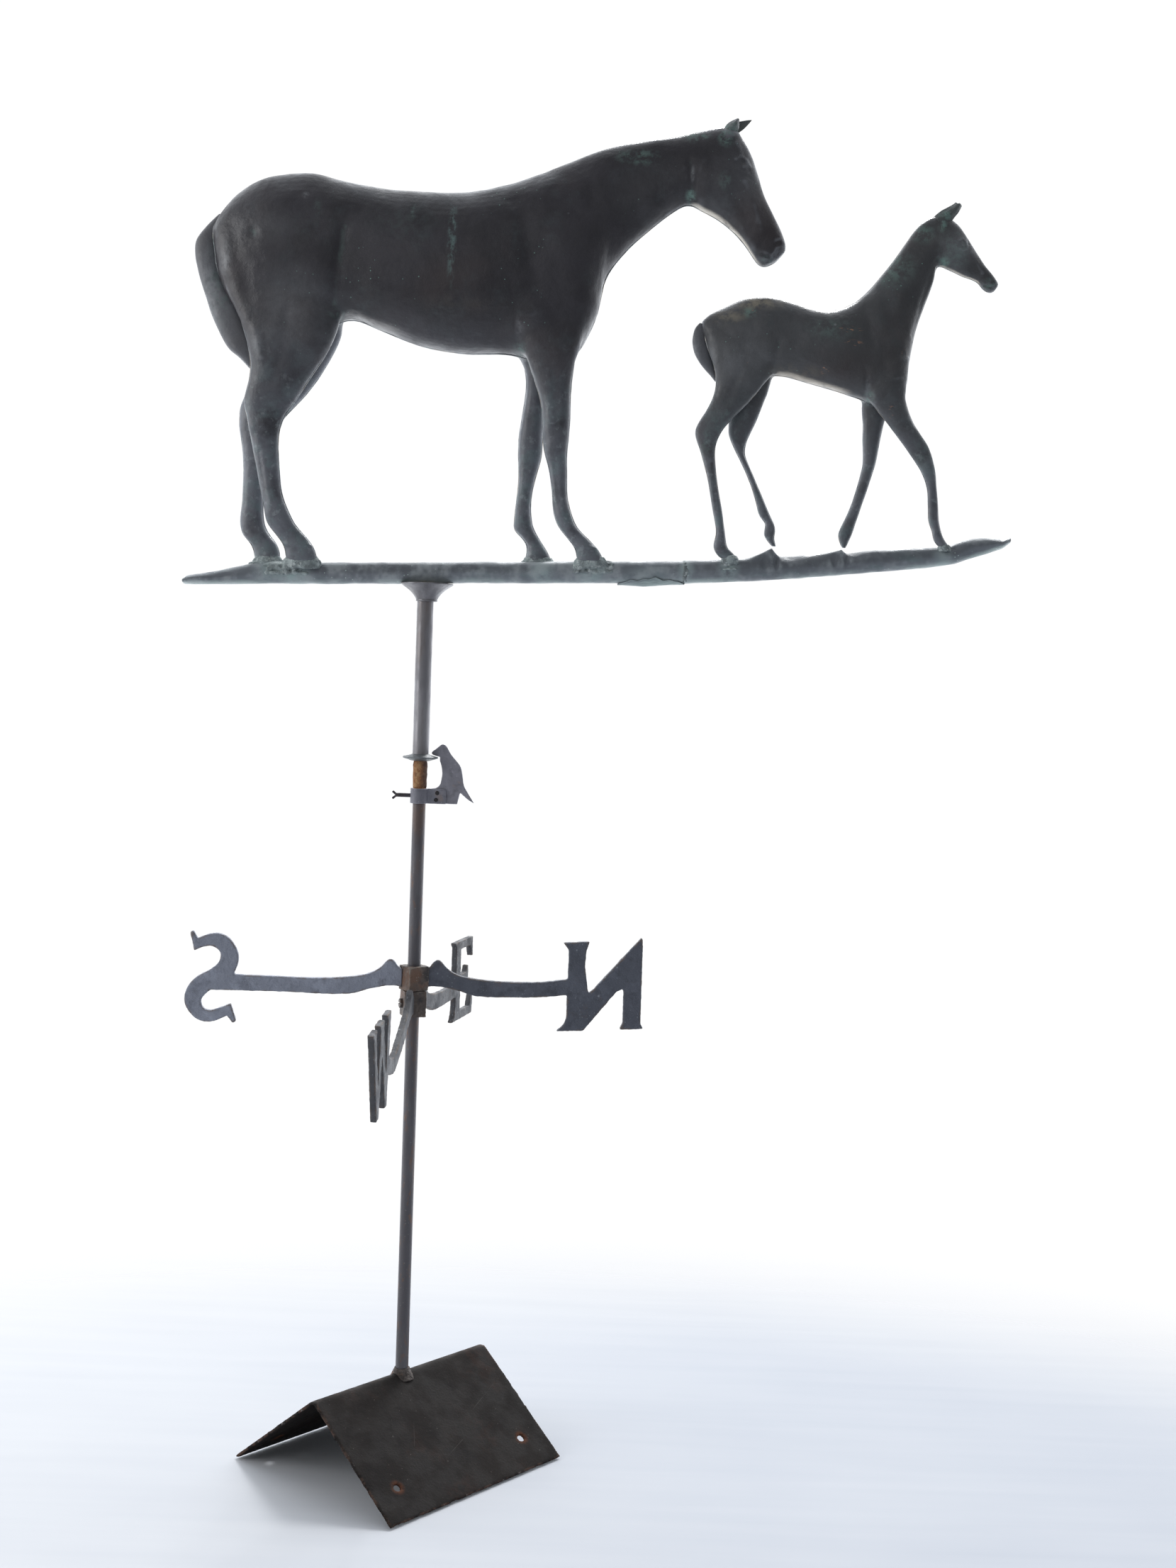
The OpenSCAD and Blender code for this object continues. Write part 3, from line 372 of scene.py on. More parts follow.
def bar_material():
    p = Paint("ground_bar", (0.082, 0.091, 0.104), 0.42, 0.0, 0.45, 1.72)
    p.tint(p.noise(20, 0.38, 0.70, 4, 0.55, (0.2, 1, 1), 1.0), (0.118, 0.134, 0.146), 0.65)
    p.tint(p.noise(26, 0.48, 0.74, 4, 0.55, (0.18, 1, 1), 5.0), (0.052, 0.057, 0.064), 0.60)
    p.tint(p.noise(42, 0.52, 0.72, 5, 0.6, (0.35, 1, 1), 2.0), (0.080, 0.120, 0.120), 0.55)
    p.tint(p.times(p.facing((0, 0, -1), 0.45, 0.85), p.noise(50, 0.34, 0.60, 4, 0.6, (0.4, 1, 1))),
           (0.19, 0.235, 0.225), 0.75)
    # painted highlight: upward-facing surfaces are tinted lighter
    p.tint(p.times(p.facing((0, 0, 1), 0.55, 0.95), p.noise(30, 0.36, 0.62, 4)), (0.165, 0.175, 0.175), 0.6)
    # painted shade: the near, front-facing side is darkened
    p.tint(p.times(p.facing((0, -0.92, 0.38), 0.80, 0.99), p.noise(20, 0.36, 0.58, 5, 0.6, (0.22, 1, 1), 8.0)),
           (0.046, 0.051, 0.058), 0.65)
    # painted highlight: a lighter band along the upper near facet
    p.tint(p.times(p.facing((0, -0.6, 0.8), 0.90, 0.99), p.noise(34, 0.42, 0.62, 5, 0.6, (0.3, 1, 1), 6.0)),
           (0.150, 0.165, 0.180), 0.6)
    for x, z, wide, amount in ((-128, 872, 24, 0.95), (-152, 872, 20, 0.55), (112, 882, 17, 0.7), (160, 884, 22, 0.9),
                               (292, 891, 15, 0.75), (498, 909, 14, 0.45), (251, 887, 12, 0.7), (215, 880, 34, 0.35)):
        m = p.times(p.place((x, -4, z), (wide, 22, 16), 0.95), p.noise(80, 0.26, 0.52, 5, 0.7, seed=x * 0.01))
        p.tint(m, (0.25, 0.32, 0.315), amount * 0.85)
        p.roughen(m, 0.8)
    p.tint(p.times(p.attribute("ridge", 0.3, 0.9), p.noise(60, 0.35, 0.6, 4)), (0.22, 0.24, 0.25), 0.55)
    # painted shade: dents and hollows are darkened
    p.tint(p.attribute("hollow", 0.25, 0.9), (0.035, 0.040, 0.044), 0.6)
    p.tint(p.times(p.specks(300, 0.22, 4.0, keep=0.2), p.noise(20, 0.45, 0.6, 3, seed=3.0)), PALE_GREEN, 0.6)
    p.roughen(p.noise(46, 0.40, 0.66, 4, seed=2.2), 0.66)
    p.raise_by(p.noise(700, 0.25, 0.75, 3, 0.7), 0.3)
    p.raise_by(p.noise(120, 0.3, 0.7, 4, 0.6, (0.5, 1, 1)), 0.8)
    return p.done(0.25, 0.0012)


def iron_material(name, base, fleck=0.5, rust=0.25):
    """Cast letters and arms: dark blue-grey with fine pale flecks and rust where it has chipped."""
    p = Paint(name, base, 0.52, 0.0, 0.4)
    p.tint(p.noise(36, 0.40, 0.66, 5, 0.6), tuple(c * 1.4 for c in base), 0.6)
    p.tint(p.noise(80, 0.50, 0.68, 4, 0.6, seed=3.0), tuple(c * 0.6 for c in base), 0.6)
    p.tint(p.times(p.specks(420, 0.30, 1.0, keep=0.34), p.noise(40, 0.38, 0.6, 3)), (0.30, 0.33, 0.37), fleck)
    p.tint(p.times(p.specks(170, 0.22, 6.0, keep=0.22), p.noise(25, 0.40, 0.6, 3, seed=9.0)), (0.38, 0.42, 0.46),
           fleck)
    p.tint(p.times(p.attribute("ridge", 0.35, 0.95), p.noise(90, 0.42, 0.6, 4, seed=1.0)), (0.155, 0.115, 0.090),
           0.65)
    p.tint(p.times(p.facing((0, 0, -1), 0.3, 0.9), p.noise(60, 0.42, 0.62, 4, seed=5.0)), (0.12, 0.085, 0.065),
           0.55)
    p.tint(p.noise(55, 0.60, 0.72, 5, 0.65, seed=8.0), (0.13, 0.075, 0.048), rust)
    p.roughen(p.noise(60, 0.40, 0.64, 4, seed=2.0), 0.72)
    p.raise_by(p.noise(500, 0.25, 0.75, 5, 0.75), 0.7)
    p.raise_by(p.noise(150, 0.3, 0.7, 4), 0.6)
    return p.done(0.45, 0.0010)


def hub_material():
    p = Paint("hub_iron", (0.085, 0.070, 0.062), 0.60, 0.0, 0.35, 1.15)
    p.tint(p.noise(60, 0.40, 0.64, 5, 0.65), (0.155, 0.125, 0.105), 0.75)
    p.tint(p.noise(45, 0.48, 0.66, 5, 0.6, seed=4.0), (0.150, 0.072, 0.040), 0.6)
    p.tint(p.noise(90, 0.52, 0.68, 4, seed=7.0), (0.040, 0.038, 0.040), 0.8)
    p.tint(p.times(p.attribute("ridge", 0.3, 0.9), p.noise(120, 0.4, 0.6, 4)), (0.24, 0.21, 0.18), 0.6)
    p.tint(p.specks(520, 0.30, 2.0, keep=0.25), (0.30, 0.29, 0.27), 0.5)
    p.raise_by(p.noise(480, 0.25, 0.75, 5, 0.75), 0.9)
    p.raise_by(p.noise(160, 0.3, 0.7, 4), 0.7)
    return p.done(0.6, 0.0010)


def rod_material():
    """Mast rod: brown-grey steel with drawn marks, bright orange rust where the rotor tube has sheltered it."""
    p = Paint("mast_steel", (0.070, 0.067, 0.074), 0.40, 0.25, 0.4, 1.3)
    p.tint(p.noise(60, 0.42, 0.66, 5, 0.6, (1, 1, 0.16), 1.0), (0.115, 0.112, 0.120), 0.7)
    p.tint(p.noise(40, 0.50, 0.68, 5, 0.6, (1, 1, 0.25), 6.0), (0.105, 0.068, 0.052), 0.65)
    p.tint(p.noise(160, 0.55, 0.70, 4, 0.6, (1, 1, 0.4), 3.0), (0.150, 0.080, 0.045), 0.55)
    p.tint(p.specks(360, 0.24, 3.0, keep=0.2), (0.22, 0.21, 0.21), 0.4)
    rust = p.place((0, 0, 681), (40, 40, 16.5), 0.12)
    p.tint(rust, (0.310, 0.150, 0.072), 0.95)
    p.tint(p.times(rust, p.noise(190, 0.46, 0.64, 5, 0.7, seed=2.0)), (0.44, 0.26, 0.13), 0.8)
    p.tint(p.times(rust, p.noise(130, 0.54, 0.66, 5, 0.7, seed=5.0)), (0.105, 0.052, 0.036), 0.85)
    p.roughen(rust, 0.85)
    p.raise_by(p.noise(420, 0.25, 0.75, 4, 0.7, (1, 1, 0.5)), 0.6)
    p.raise_by(p.times(rust, p.noise(260, 0.3, 0.7, 5, 0.7)), 2.0)
    return p.done(0.3, 0.0008)


def rust_material():
    p = Paint("flaked_rust", (0.290, 0.140, 0.068), 0.88, 0.0, 0.2)
    p.tint(p.noise(190, 0.44, 0.62, 5, 0.7, seed=2.0), (0.44, 0.27, 0.14), 0.85)
    p.tint(p.noise(120, 0.50, 0.64, 5, 0.7, seed=5.0), (0.120, 0.058, 0.040), 0.9)
    p.tint(p.noise(260, 0.58, 0.68, 4, 0.7, seed=8.0), (0.080, 0.060, 0.060), 0.8)
    # painted shade: faces turned to the right (+x) are darkened
    p.tint(p.facing((0.9, -0.2, 0), 0.25, 0.95), (0.075, 0.055, 0.055), 0.75)
    p.raise_by(p.noise(420, 0.25, 0.75, 5, 0.75), 1.0)
    return p.done(0.6, 0.0010)


def sheet_material(name, base, rough=0.5, gain=2.85):
    """Satin sheet metal gone dark: faint mottling, fine scratches."""
    p = Paint(name, base, rough, 0.2, 0.45, gain)
    p.tint(p.noise(50, 0.40, 0.66, 5, 0.6), tuple(c * 1.45 for c in base), 0.6)
    p.tint(p.noise(110, 0.50, 0.68, 4, 0.6, seed=3.0), tuple(c * 0.6 for c in base), 0.6)
    p.tint(p.times(p.attribute("ridge", 0.3, 0.9), p.noise(90, 0.4, 0.62, 4)), tuple(c * 2.6 for c in base), 0.5)
    p.tint(p.specks(500, 0.22, 1.0, keep=0.16), tuple(c * 3.0 for c in base), 0.5)
    p.tint(p.noise(75, 0.60, 0.72, 4, seed=9.0), (0.11, 0.075, 0.055), 0.3)
    p.roughen(p.noise(70, 0.40, 0.64, 4, seed=2.0), rough + 0.18)
    p.raise_by(p.noise(500, 0.3, 0.7, 4, 0.7), 0.5)
    return p.done(0.25, 0.0008)


def tube_material(name, gain):
    """Rotor tube and funnel: brown-grey copper, satin, with soft vertical run marks."""
    p = Paint(name, (0.085, 0.083, 0.089), 0.33, 0.35, 0.5, gain)
    p.tint(p.noise(70, 0.42, 0.66, 5, 0.6, (1, 1, 0.14), 1.0), (0.125, 0.122, 0.130), 0.7)
    p.tint(p.noise(50, 0.50, 0.70, 5, 0.6, (1, 1, 0.2), 6.0), (0.070, 0.058, 0.052), 0.7)
    p.tint(p.noise(40, 0.56, 0.72, 4, seed=3.0), (0.060, 0.085, 0.082), 0.5)
    p.tint(p.times(p.attribute("ridge", 0.3, 0.9), p.noise(90, 0.4, 0.62, 4)), (0.20, 0.20, 0.21), 0.4)
    p.roughen(p.noise(60, 0.40, 0.64, 4, seed=2.0), 0.52)
    p.raise_by(p.noise(300, 0.3, 0.7, 4, 0.6, (1, 1, 0.3)), 0.5)
    return p.done(0.2, 0.0008)


def saddle_material():
    """Black-brown paint over steel plate: rust bleeding through, worn edges, rusty rings round the screw holes."""
    p = Paint("saddle_paint", (0.030, 0.0245, 0.0225), 0.62, 0.0, 0.14, 0.41)
    p.tint(p.noise(13, 0.42, 0.66, 5, 0.6, seed=1.0), (0.040, 0.031, 0.027), 0.6)
    p.tint(p.noise(34, 0.50, 0.68, 5, 0.65, seed=3.0), (0.023, 0.019, 0.019), 0.6)
    p.tint(p.times(p.noise(20, 0.52, 0.68, 5, 0.65, seed=6.0), p.noise(110, 0.35, 0.62, 4, seed=1.0)),
           (0.080, 0.036, 0.024), 0.40)
    p.tint(p.noise(260, 0.56, 0.70, 3, 0.6, seed=2.0), (0.055, 0.043, 0.037), 0.35)
    for place in ((9.4, -119.6, 21.4), (119.8, 7.0, 21.4), (-9.4, 119.6, 21.4), (-119.8, -7.0, 21.4)):
        ring = p.place(place, (9.5, 9.5, 9.5), 0.62)
        p.tint(p.times(ring, p.noise(240, 0.28, 0.55, 4, 0.7, seed=4.0)), (0.230, 0.088, 0.046), 0.95)
        p.roughen(ring, 0.85)
    p.tint(p.times(p.attribute("ridge", 0.30, 0.85), p.noise(70, 0.44, 0.60, 5, 0.7, seed=5.0)),
           (0.200, 0.122, 0.094), 0.9)
    p.tint(p.times(p.attribute("ridge", 0.45, 0.95), p.noise(95, 0.58, 0.66, 5, 0.7, seed=8.0)), (0.48, 0.44, 0.42),
           0.9)
    p.tint(p.times(p.specks(150, 0.16, 5.0, keep=0.10), p.noise(12, 0.46, 0.6, 2, seed=5.0)), (0.42, 0.38, 0.34),
           0.8)
    p.tint(p.times(p.specks(330, 0.20, 7.0, keep=0.10), p.noise(20, 0.42, 0.6, 2, seed=2.0)), (0.20, 0.17, 0.15),
           0.8)
    p.tint(p.times(p.cracks(17, 0.006, 1.4, (1, 0.6, 1)), p.noise(14, 0.58, 0.66, 2, seed=4.0)), (0.16, 0.14, 0.12),
           0.5)
    p.tint(p.place((0, 0, 84), (30, 30, 12), 0.8), (0.050, 0.043, 0.040), 0.6)
    p.roughen(p.noise(36, 0.40, 0.64, 4, seed=2.0), 0.78)
    p.raise_by(p.noise(420, 0.3, 0.7, 5, 0.75), 0.6)
    p.raise_by(p.noise(90, 0.3, 0.7, 4, 0.6), 0.5)
    return p.done(0.35, 0.0008)


def weld_material():
    p = Paint("weld_bead", (0.050, 0.040, 0.036), 0.55, 0.3, 0.4)
    p.tint(p.noise(140, 0.42, 0.62, 5, 0.7), (0.105, 0.088, 0.080), 0.8)
    p.tint(p.noise(90, 0.52, 0.64, 4, seed=3.0), (0.170, 0.090, 0.055), 0.6)
    # painted shade: hollows in the bead are darkened
    p.tint(p.attribute("hollow", 0.2, 0.9), (0.020, 0.016, 0.015), 0.7)
    p.raise_by(p.noise(380, 0.25, 0.75, 4, 0.7), 0.9)
    return p.done(0.6, 0.0010)


def plain_metal(name, base, rough, metallic, patch):
    p = Paint(name, base, rough, metallic, 0.5)
    p.tint(p.noise(160, 0.42, 0.64, 5, 0.7), patch, 0.5)
    p.tint(p.noise(90, 0.52, 0.68, 4, seed=4.0), tuple(c * 0.5 for c in base), 0.6)
    p.roughen(p.noise(120, 0.4, 0.62, 4, seed=1.0), min(1.0, rough + 0.2))
    p.raise_by(p.noise(600, 0.25, 0.75, 4, 0.7), 0.6)
    return p.done(0.3, 0.0006)


# ---------------------------------------------------------------- mesh tools

def co_of(mesh):
    a = np.empty(len(mesh.vertices) * 3)
    mesh.vertices.foreach_get("co", a)
    return a.reshape(-1, 3)


def set_co(mesh, co):
    mesh.vertices.foreach_set("co", np.ascontiguousarray(co, np.float32).ravel())
    mesh.update()


def normals_of(mesh):
    a = np.empty(len(mesh.vertices) * 3)
    mesh.vertices.foreach_get("normal", a)
    return a.reshape(-1, 3)


def edges_of(mesh):
    a = np.empty(len(mesh.edges) * 2, np.int32)
    mesh.edges.foreach_get("vertices", a)
    return a.reshape(-1, 2)


def mean_of_neighbours(values, e, n):
    count = np.maximum(np.bincount(e.ravel(), minlength=n), 1)
    flat = values.reshape(n, -1)
    out = np.empty_like(flat)
    for k in range(flat.shape[1]):
        out[:, k] = (np.bincount(e[:, 0], flat[e[:, 1], k], n) + np.bincount(e[:, 1], flat[e[:, 0], k], n)) / count
    return out.reshape(values.shape)


def relax(mesh, times, weight=0.5, keep_size=True):
    """Laplacian smoothing; weight may be one number or one per vertex. keep_size undoes the shrinking."""
    co, e = co_of(mesh), edges_of(mesh)
    n = len(co)
    w = np.broadcast_to(np.asarray(weight, float), (n,))[:, None]
    for _ in range(times):
        co = co + w * (mean_of_neighbours(co, e, n) - co)
        if keep_size:
            co = co - w * 1.04 * (mean_of_neighbours(co, e, n) - co)
    set_co(mesh, co)


def fractal(co, size, octaves=3, seed=0.0):
    """Smooth noise about 0, features about size millimetres across."""
    s = 1.0 / (size * MM)
    shift = Vector((seed, seed * 1.7, seed * 0.6))
    return np.array([noise.fractal(Vector(p) * s + shift, 1.0, 2.0, octaves) for p in co])


def paint_shape(mesh, spread=3, gain=1.0):
    """Stores how far each vertex stands out of (ridge) or sinks into (hollow) its surroundings, from 0 to 1."""
    co, e, nrm = co_of(mesh), edges_of(mesh), normals_of(mesh)
    n = len(co)
    soft = co
    for _ in range(spread):
        soft = mean_of_neighbours(soft, e, n)
    out = ((co - soft) * nrm).sum(1)
    for _ in range(2):
        out = mean_of_neighbours(out, e, n)
    scale = gain / (np.percentile(np.abs(out), 97) + 1e-9)
    for name, values in (("ridge", out * scale), ("hollow", -out * scale)):
        layer = mesh.attributes.new(name, "FLOAT", "POINT")
        layer.data.foreach_set("value", np.clip(values, 0, 1).astype(np.float32))


def voxelised(mesh, size):
    """The mesh's outer skin on an even grid; overlapping closed parts come out as one."""
    ob = bpy.data.objects.new("tmp", mesh)
    bpy.context.scene.collection.objects.link(ob)
    mod = ob.modifiers.new("skin", "REMESH")
    mod.mode = "VOXEL"
    mod.voxel_size = size * MM
    dg = bpy.context.evaluated_depsgraph_get()
    out = bpy.data.meshes.new_from_object(ob.evaluated_get(dg))
    bpy.data.objects.remove(ob)
    return out


def mesh_from(parts):
    """One mesh, in metres, from (points in millimetres, faces) parts."""
    points, faces, at = [], [], 0
    for pts, fcs in parts:
        points.append(np.asarray(pts, float))
        faces.extend([tuple(i + at for i in f) for f in fcs])
        at += len(pts)
    mesh = bpy.data.meshes.new("tmp")
    mesh.from_pydata((np.concatenate(points) * MM).tolist(), [], faces)
    mesh.update()
    return mesh


def grid_faces(rows, cols, closed=True):
    span = cols if closed else cols - 1
    return [(r * cols + c, r * cols + (c + 1) % cols, (r + 1) * cols + (c + 1) % cols, (r + 1) * cols + c)
            for r in range(rows - 1) for c in range(span)]


def tube_part(rings):
    """A closed tube through rings of points, its ends closed by fans."""
    rings = np.asarray(rings)
    rows, cols = rings.shape[:2]
    pts = rings.reshape(-1, 3)
    faces = [tuple(reversed(f)) for f in grid_faces(rows, cols)]
    first, last = rings[0].mean(0), rings[-1].mean(0)
    pts = np.concatenate([pts, [first, last]])
    a, b = len(pts) - 2, len(pts) - 1
    faces += [(a, c, (c + 1) % cols) for c in range(cols)]
    base = (rows - 1) * cols
    faces += [(b, base + (c + 1) % cols, base + c) for c in range(cols)]
    return pts, faces


def curve(points, steps):
    """Catmull-Rom through rows of numbers, steps between each two."""
    p = np.asarray(points, float)
    out = []
    for i in range(len(p) - 1):
        a, b, c, d = p[max(i - 1, 0)], p[i], p[i + 1], p[min(i + 2, len(p) - 1)]
        for f in np.arange(steps) / steps:
            out.append((2 * b + (c - a) * f + (2 * a - 5 * b + 4 * c - d) * f * f
                        + (3 * b - a - 3 * c + d) * f ** 3) / 2)
    out.append(p[-1])
    return np.array(out)


def loft_part(stations, sides=48, steps=7, fullness=1.0, sag=0.0):
    """Rings through stations: upper x, z, lower x, z, middle y, half width; fullness under 1 squares them."""
    rings = []
    a = np.arange(sides) * 2 * np.pi / sides
    ca, sa = np.cos(a), np.sin(a)
    up = np.sign(ca) * np.abs(ca) ** fullness
    side = np.sign(sa) * np.abs(sa) ** fullness
    for ux, uz, lx, lz, y, w in curve(stations, steps):
        cx, cz = (ux + lx) / 2, (uz + lz) / 2
        hx, hz = (ux - lx) / 2, (uz - lz) / 2
        v = up + sag * sa * sa
        rings.append(np.stack([cx + hx * v, y + w * side, cz + hz * v], 1))
    return tube_part(rings)


def line_distance(x, z, line):
    p = np.asarray(line, float)
    if len(p) == 1:
        return np.hypot(x - p[0, 0], z - p[0, 1])
    best = np.full(x.shape, 1e9)
    for (ax, az), (bx, bz) in zip(p[:-1], p[1:]):
        dx, dz = bx - ax, bz - az
        t = np.clip(((x - ax) * dx + (z - az) * dz) / (dx * dx + dz * dz + 1e-9), 0, 1)
        best = np.minimum(best, np.hypot(x - ax - t * dx, z - az - t * dz))
    return best


def press(mesh, strokes):
    """Raises or sinks the flanks along strokes (side, line, width, height). side: -1 near, 1 far, 0 both."""
    co, nrm = co_of(mesh) / MM, normals_of(mesh)
    x, y, z = co.T
    flank = np.clip((np.abs(nrm[:, 1]) - 0.12) / 0.5, 0, 1)
    lift = np.zeros(len(co))
    for side, line, width, height in strokes:
        m = np.exp(-(line_distance(x, z, line) / width) ** 2) * height * flank
        if side:
            m = m * (np.sign(nrm[:, 1]) == side) * (y * side > -2)
        lift += m
    set_co(mesh, (co + nrm * lift[:, None]) * MM)


def finish_piece(name, mesh, body, material, replaces=()):
    mesh.name = name
    ob = bpy.data.objects.new(name, mesh)
    bpy.context.scene.collection.objects.link(ob)
    mesh.materials.clear()
    mesh.materials.append(material)
    mesh.shade_smooth()
    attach(ob, body)
    if replaces:
        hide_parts(*replaces)
    return ob


def half_of(mesh, side):
    """The part of a closed mesh on one side of the plane y = 0, closed along the cut."""
    bm = bmesh.new()
    bm.from_mesh(mesh)
    geom = bm.verts[:] + bm.edges[:] + bm.faces[:]
    bmesh.ops.bisect_plane(bm, geom=geom, dist=1e-6, plane_co=(0, 0, 0), plane_no=(0, side, 0), clear_inner=True)
    rim = [e for e in bm.edges if e.is_boundary]
    bmesh.ops.holes_fill(bm, edges=rim, sides=0)
    for e in rim:
        if e.is_valid:
            e.smooth = False
    bmesh.ops.triangulate(bm, faces=[f for f in bm.faces if len(f.verts) > 4])
    out = bpy.data.meshes.new("tmp")
    bm.to_mesh(out)
    bm.free()
    return out


# ---------------------------------------------------------------- mare and foal

mare_body = [
    (-213, 1201, -213, 1184, 0, 9), (-205, 1215, -206, 1150, 0, 20), (-190, 1232, -188, 1118, 0, 29),
    (-165, 1247, -152, 1100, 0, 36), (-125, 1253.5, -112, 1100, 0, 38), (-88, 1247, -82, 1117, 0, 37),
    (-52, 1241.5, -50, 1107, 0, 39), (-10, 1239.5, -10, 1093.6, 0, 41), (30, 1241, 32, 1088.3, 0, 41),
    (65, 1248.5, 70, 1089, 0, 39), (95, 1259, 106, 1083, 0, 36), (122, 1271, 138, 1091, 0, 32),
    (150, 1283, 157, 1130, 0, 27), (180, 1291.5, 163.5, 1164, 0, 21), (204, 1296.3, 182, 1190.5, 0, 17),
    (227, 1300, 204, 1211, 0, 15), (249, 1305.5, 227, 1230.5, 0, 15), (267, 1310, 241, 1236.5, 0, 16.5),
    (282, 1310, 252, 1232, 0, 18), (291, 1299.5, 265, 1226, 0, 18.5), (299, 1285, 278, 1218, 0, 17),
    (306.5, 1266, 289, 1209, 0, 14.5), (313.5, 1247, 298, 1198.5, 0, 12.5), (322.5, 1230, 304.5, 1189, 0, 11),
    (330.5, 1215.5, 310.5, 1182, 0, 11), (335, 1204, 318, 1181.3, 0, 10), (335, 1196, 326, 1185.5, 0, 7),
]
mare_legs = {
    "near_hind": [
        (-95, 1158, -207, 1160, -16, 18), (-87, 1117, -197, 1137, -17, 18), (-96, 1088, -184, 1109, -17, 16),
        (-110.8, 1064, -173.8, 1081, -16, 13.5), (-125.4, 1041, -172.9, 1057, -15, 11.5),
        (-138.2, 1021.5, -178.2, 1035, -14, 10), (-143.4, 1006.5, -174.4, 1017, -13, 9),
        (-144.4, 990, -170.9, 1000, -12.5, 8), (-142.9, 969, -165.9, 976, -11.5, 7),
        (-140.4, 948, -161.4, 953, -10.5, 6.8), (-134.9, 933, -157.4, 936, -10, 7.4),
        (-126.4, 918, -153.9, 919.5, -9.5, 7.2), (-115.9, 906.5, -144.4, 907.5, -9, 6.4),
        (-108.4, 896, -137.4, 897.5, -8.5, 7), (-104.9, 884, -134.4, 883.5, -8, 7.5),
    ],
    "far_hind": [
        (-98, 1150, -197, 1150, 16, 18), (-89, 1108, -190, 1117, 16, 17), (-104, 1074, -176, 1082, 15, 14),
        (-122.7, 1046, -177.7, 1055, 14, 12), (-144.3, 1022, -186.3, 1033, 13.5, 10),
        (-153.6, 1004, -187.1, 1014, 12.5, 9), (-157.6, 986, -183.1, 991, 12, 8),
        (-160.1, 966, -181.6, 967, 11.5, 7), (-161.6, 943, -181.6, 943.5, 10.5, 6.8),
        (-160.6, 922, -183.4, 924.5, 10, 7.4), (-155.6, 910, -181.1, 910.5, 9.5, 7),
        (-146.6, 898.5, -170.6, 897.5, 9, 6.4), (-142.9, 885, -167.6, 883, 8, 7.2),
    ],
    "near_fore": [
        (150, 1132, 98, 1145, -15, 14), (142, 1096, 80, 1104, -15, 15), (136.5, 1080, 91, 1083, -15, 12.5),
        (134.5, 1058, 102, 1057, -14, 11), (134.2, 1035, 107.5, 1035, -13, 9.7),
        (133.7, 1012, 109, 1012, -12, 9.2), (132.4, 994, 111, 996, -11.5, 8.6), (133, 975, 116, 979, -11, 6.8),
        (133.8, 956, 119.5, 959, -10.5, 6.5), (138, 939.5, 121.6, 941, -10, 7.2),
        (144.5, 925, 125.5, 927.5, -9.5, 7.2), (156.5, 913.5, 135, 916, -9, 6.4),
        (166, 903.5, 143.5, 905, -8.5, 7), (171.5, 893.4, 146, 892.6, -8, 7.6),
    ],
    "far_fore": [
        (140, 1125, 90, 1140, 14, 14), (128, 1092, 81, 1098, 15, 14), (117, 1072, 88, 1077, 14, 11.5),
        (110, 1054, 90.5, 1060, 13, 10), (109, 1034, 88, 1036, 12.5, 9.5), (108, 1012, 85.3, 1016, 12, 9),
        (107.5, 992, 85, 996, 11.5, 8.5), (103.5, 976, 86, 976, 11, 6.8), (100, 959, 85, 955, 10.5, 6.5),
        (98.8, 940, 83.3, 933, 10, 7.2), (101.5, 925, 83.8, 922.5, 9.5, 7), (109, 912, 92, 914, 9, 6.2),
        (116, 901.5, 97, 905, 8.5, 7), (121, 892, 94.5, 890, 8, 7.4),
    ],
}
mare_tail_line = [
    (-203, 1211, -209.5, 1212.5, 0, 3), (-205, 1200, -221, 1200.5, 0, 6), (-206, 1187, -230.3, 1187, 0, 8.5),
    (-206, 1172, -231, 1173, 0, 9.5), (-203, 1158, -228, 1158.5, 0, 10), (-197, 1145, -224.3, 1146, 0, 10),
    (-188, 1130, -219, 1131.5, 0, 10), (-178, 1113, -214, 1117.5, 0, 10), (-171, 1096, -206.4, 1101.6, 0, 9.5),
    (-167, 1082, -197.2, 1086, 0, 8.5), (-167, 1071, -186, 1076.5, 0, 6.5), (-169, 1063, -176.5, 1067, 0, 4),
]
foal_body = [
    (257.5, 1126.5, 258, 1114, 0, 5), (266, 1134, 264.5, 1098, 0, 11), (281, 1141.5, 279, 1082, 0, 17),
    (298, 1149.2, 301, 1078, 0, 20), (320, 1152.8, 322, 1078, 0, 21), (342, 1148, 342, 1077, 0, 20.5),
    (361, 1142.7, 362, 1072, 0, 21), (381, 1141, 386, 1066, 0, 21.5), (399, 1146.5, 410, 1059, 0, 20.5),
    (413, 1157, 431, 1053, 0, 19), (427, 1174, 455, 1066, 0, 16), (439, 1190, 458.5, 1096, 0, 13.5),
    (449, 1205, 463.5, 1126, 0, 11), (457, 1217, 471, 1150, 0, 9.5), (466, 1227.5, 478, 1171, 0, 9),
    (477, 1233.5, 480.5, 1186, 0, 9.5), (487, 1234.5, 483, 1186.5, 0, 10.5), (494.5, 1231, 487, 1186, 0, 10.5),
    (501.5, 1225, 493, 1184, 0, 10), (508.5, 1216, 500, 1181, 0, 9), (514.5, 1207, 507, 1178, 0, 8),
    (521, 1198, 514, 1176, 0, 7), (528, 1188.5, 521, 1173, 0, 6.5), (535, 1180.5, 526.5, 1167, 0, 6.2),
    (540.3, 1173.5, 532, 1164, 0, 5.5), (540.5, 1170, 537, 1165, 0, 3.5),
]
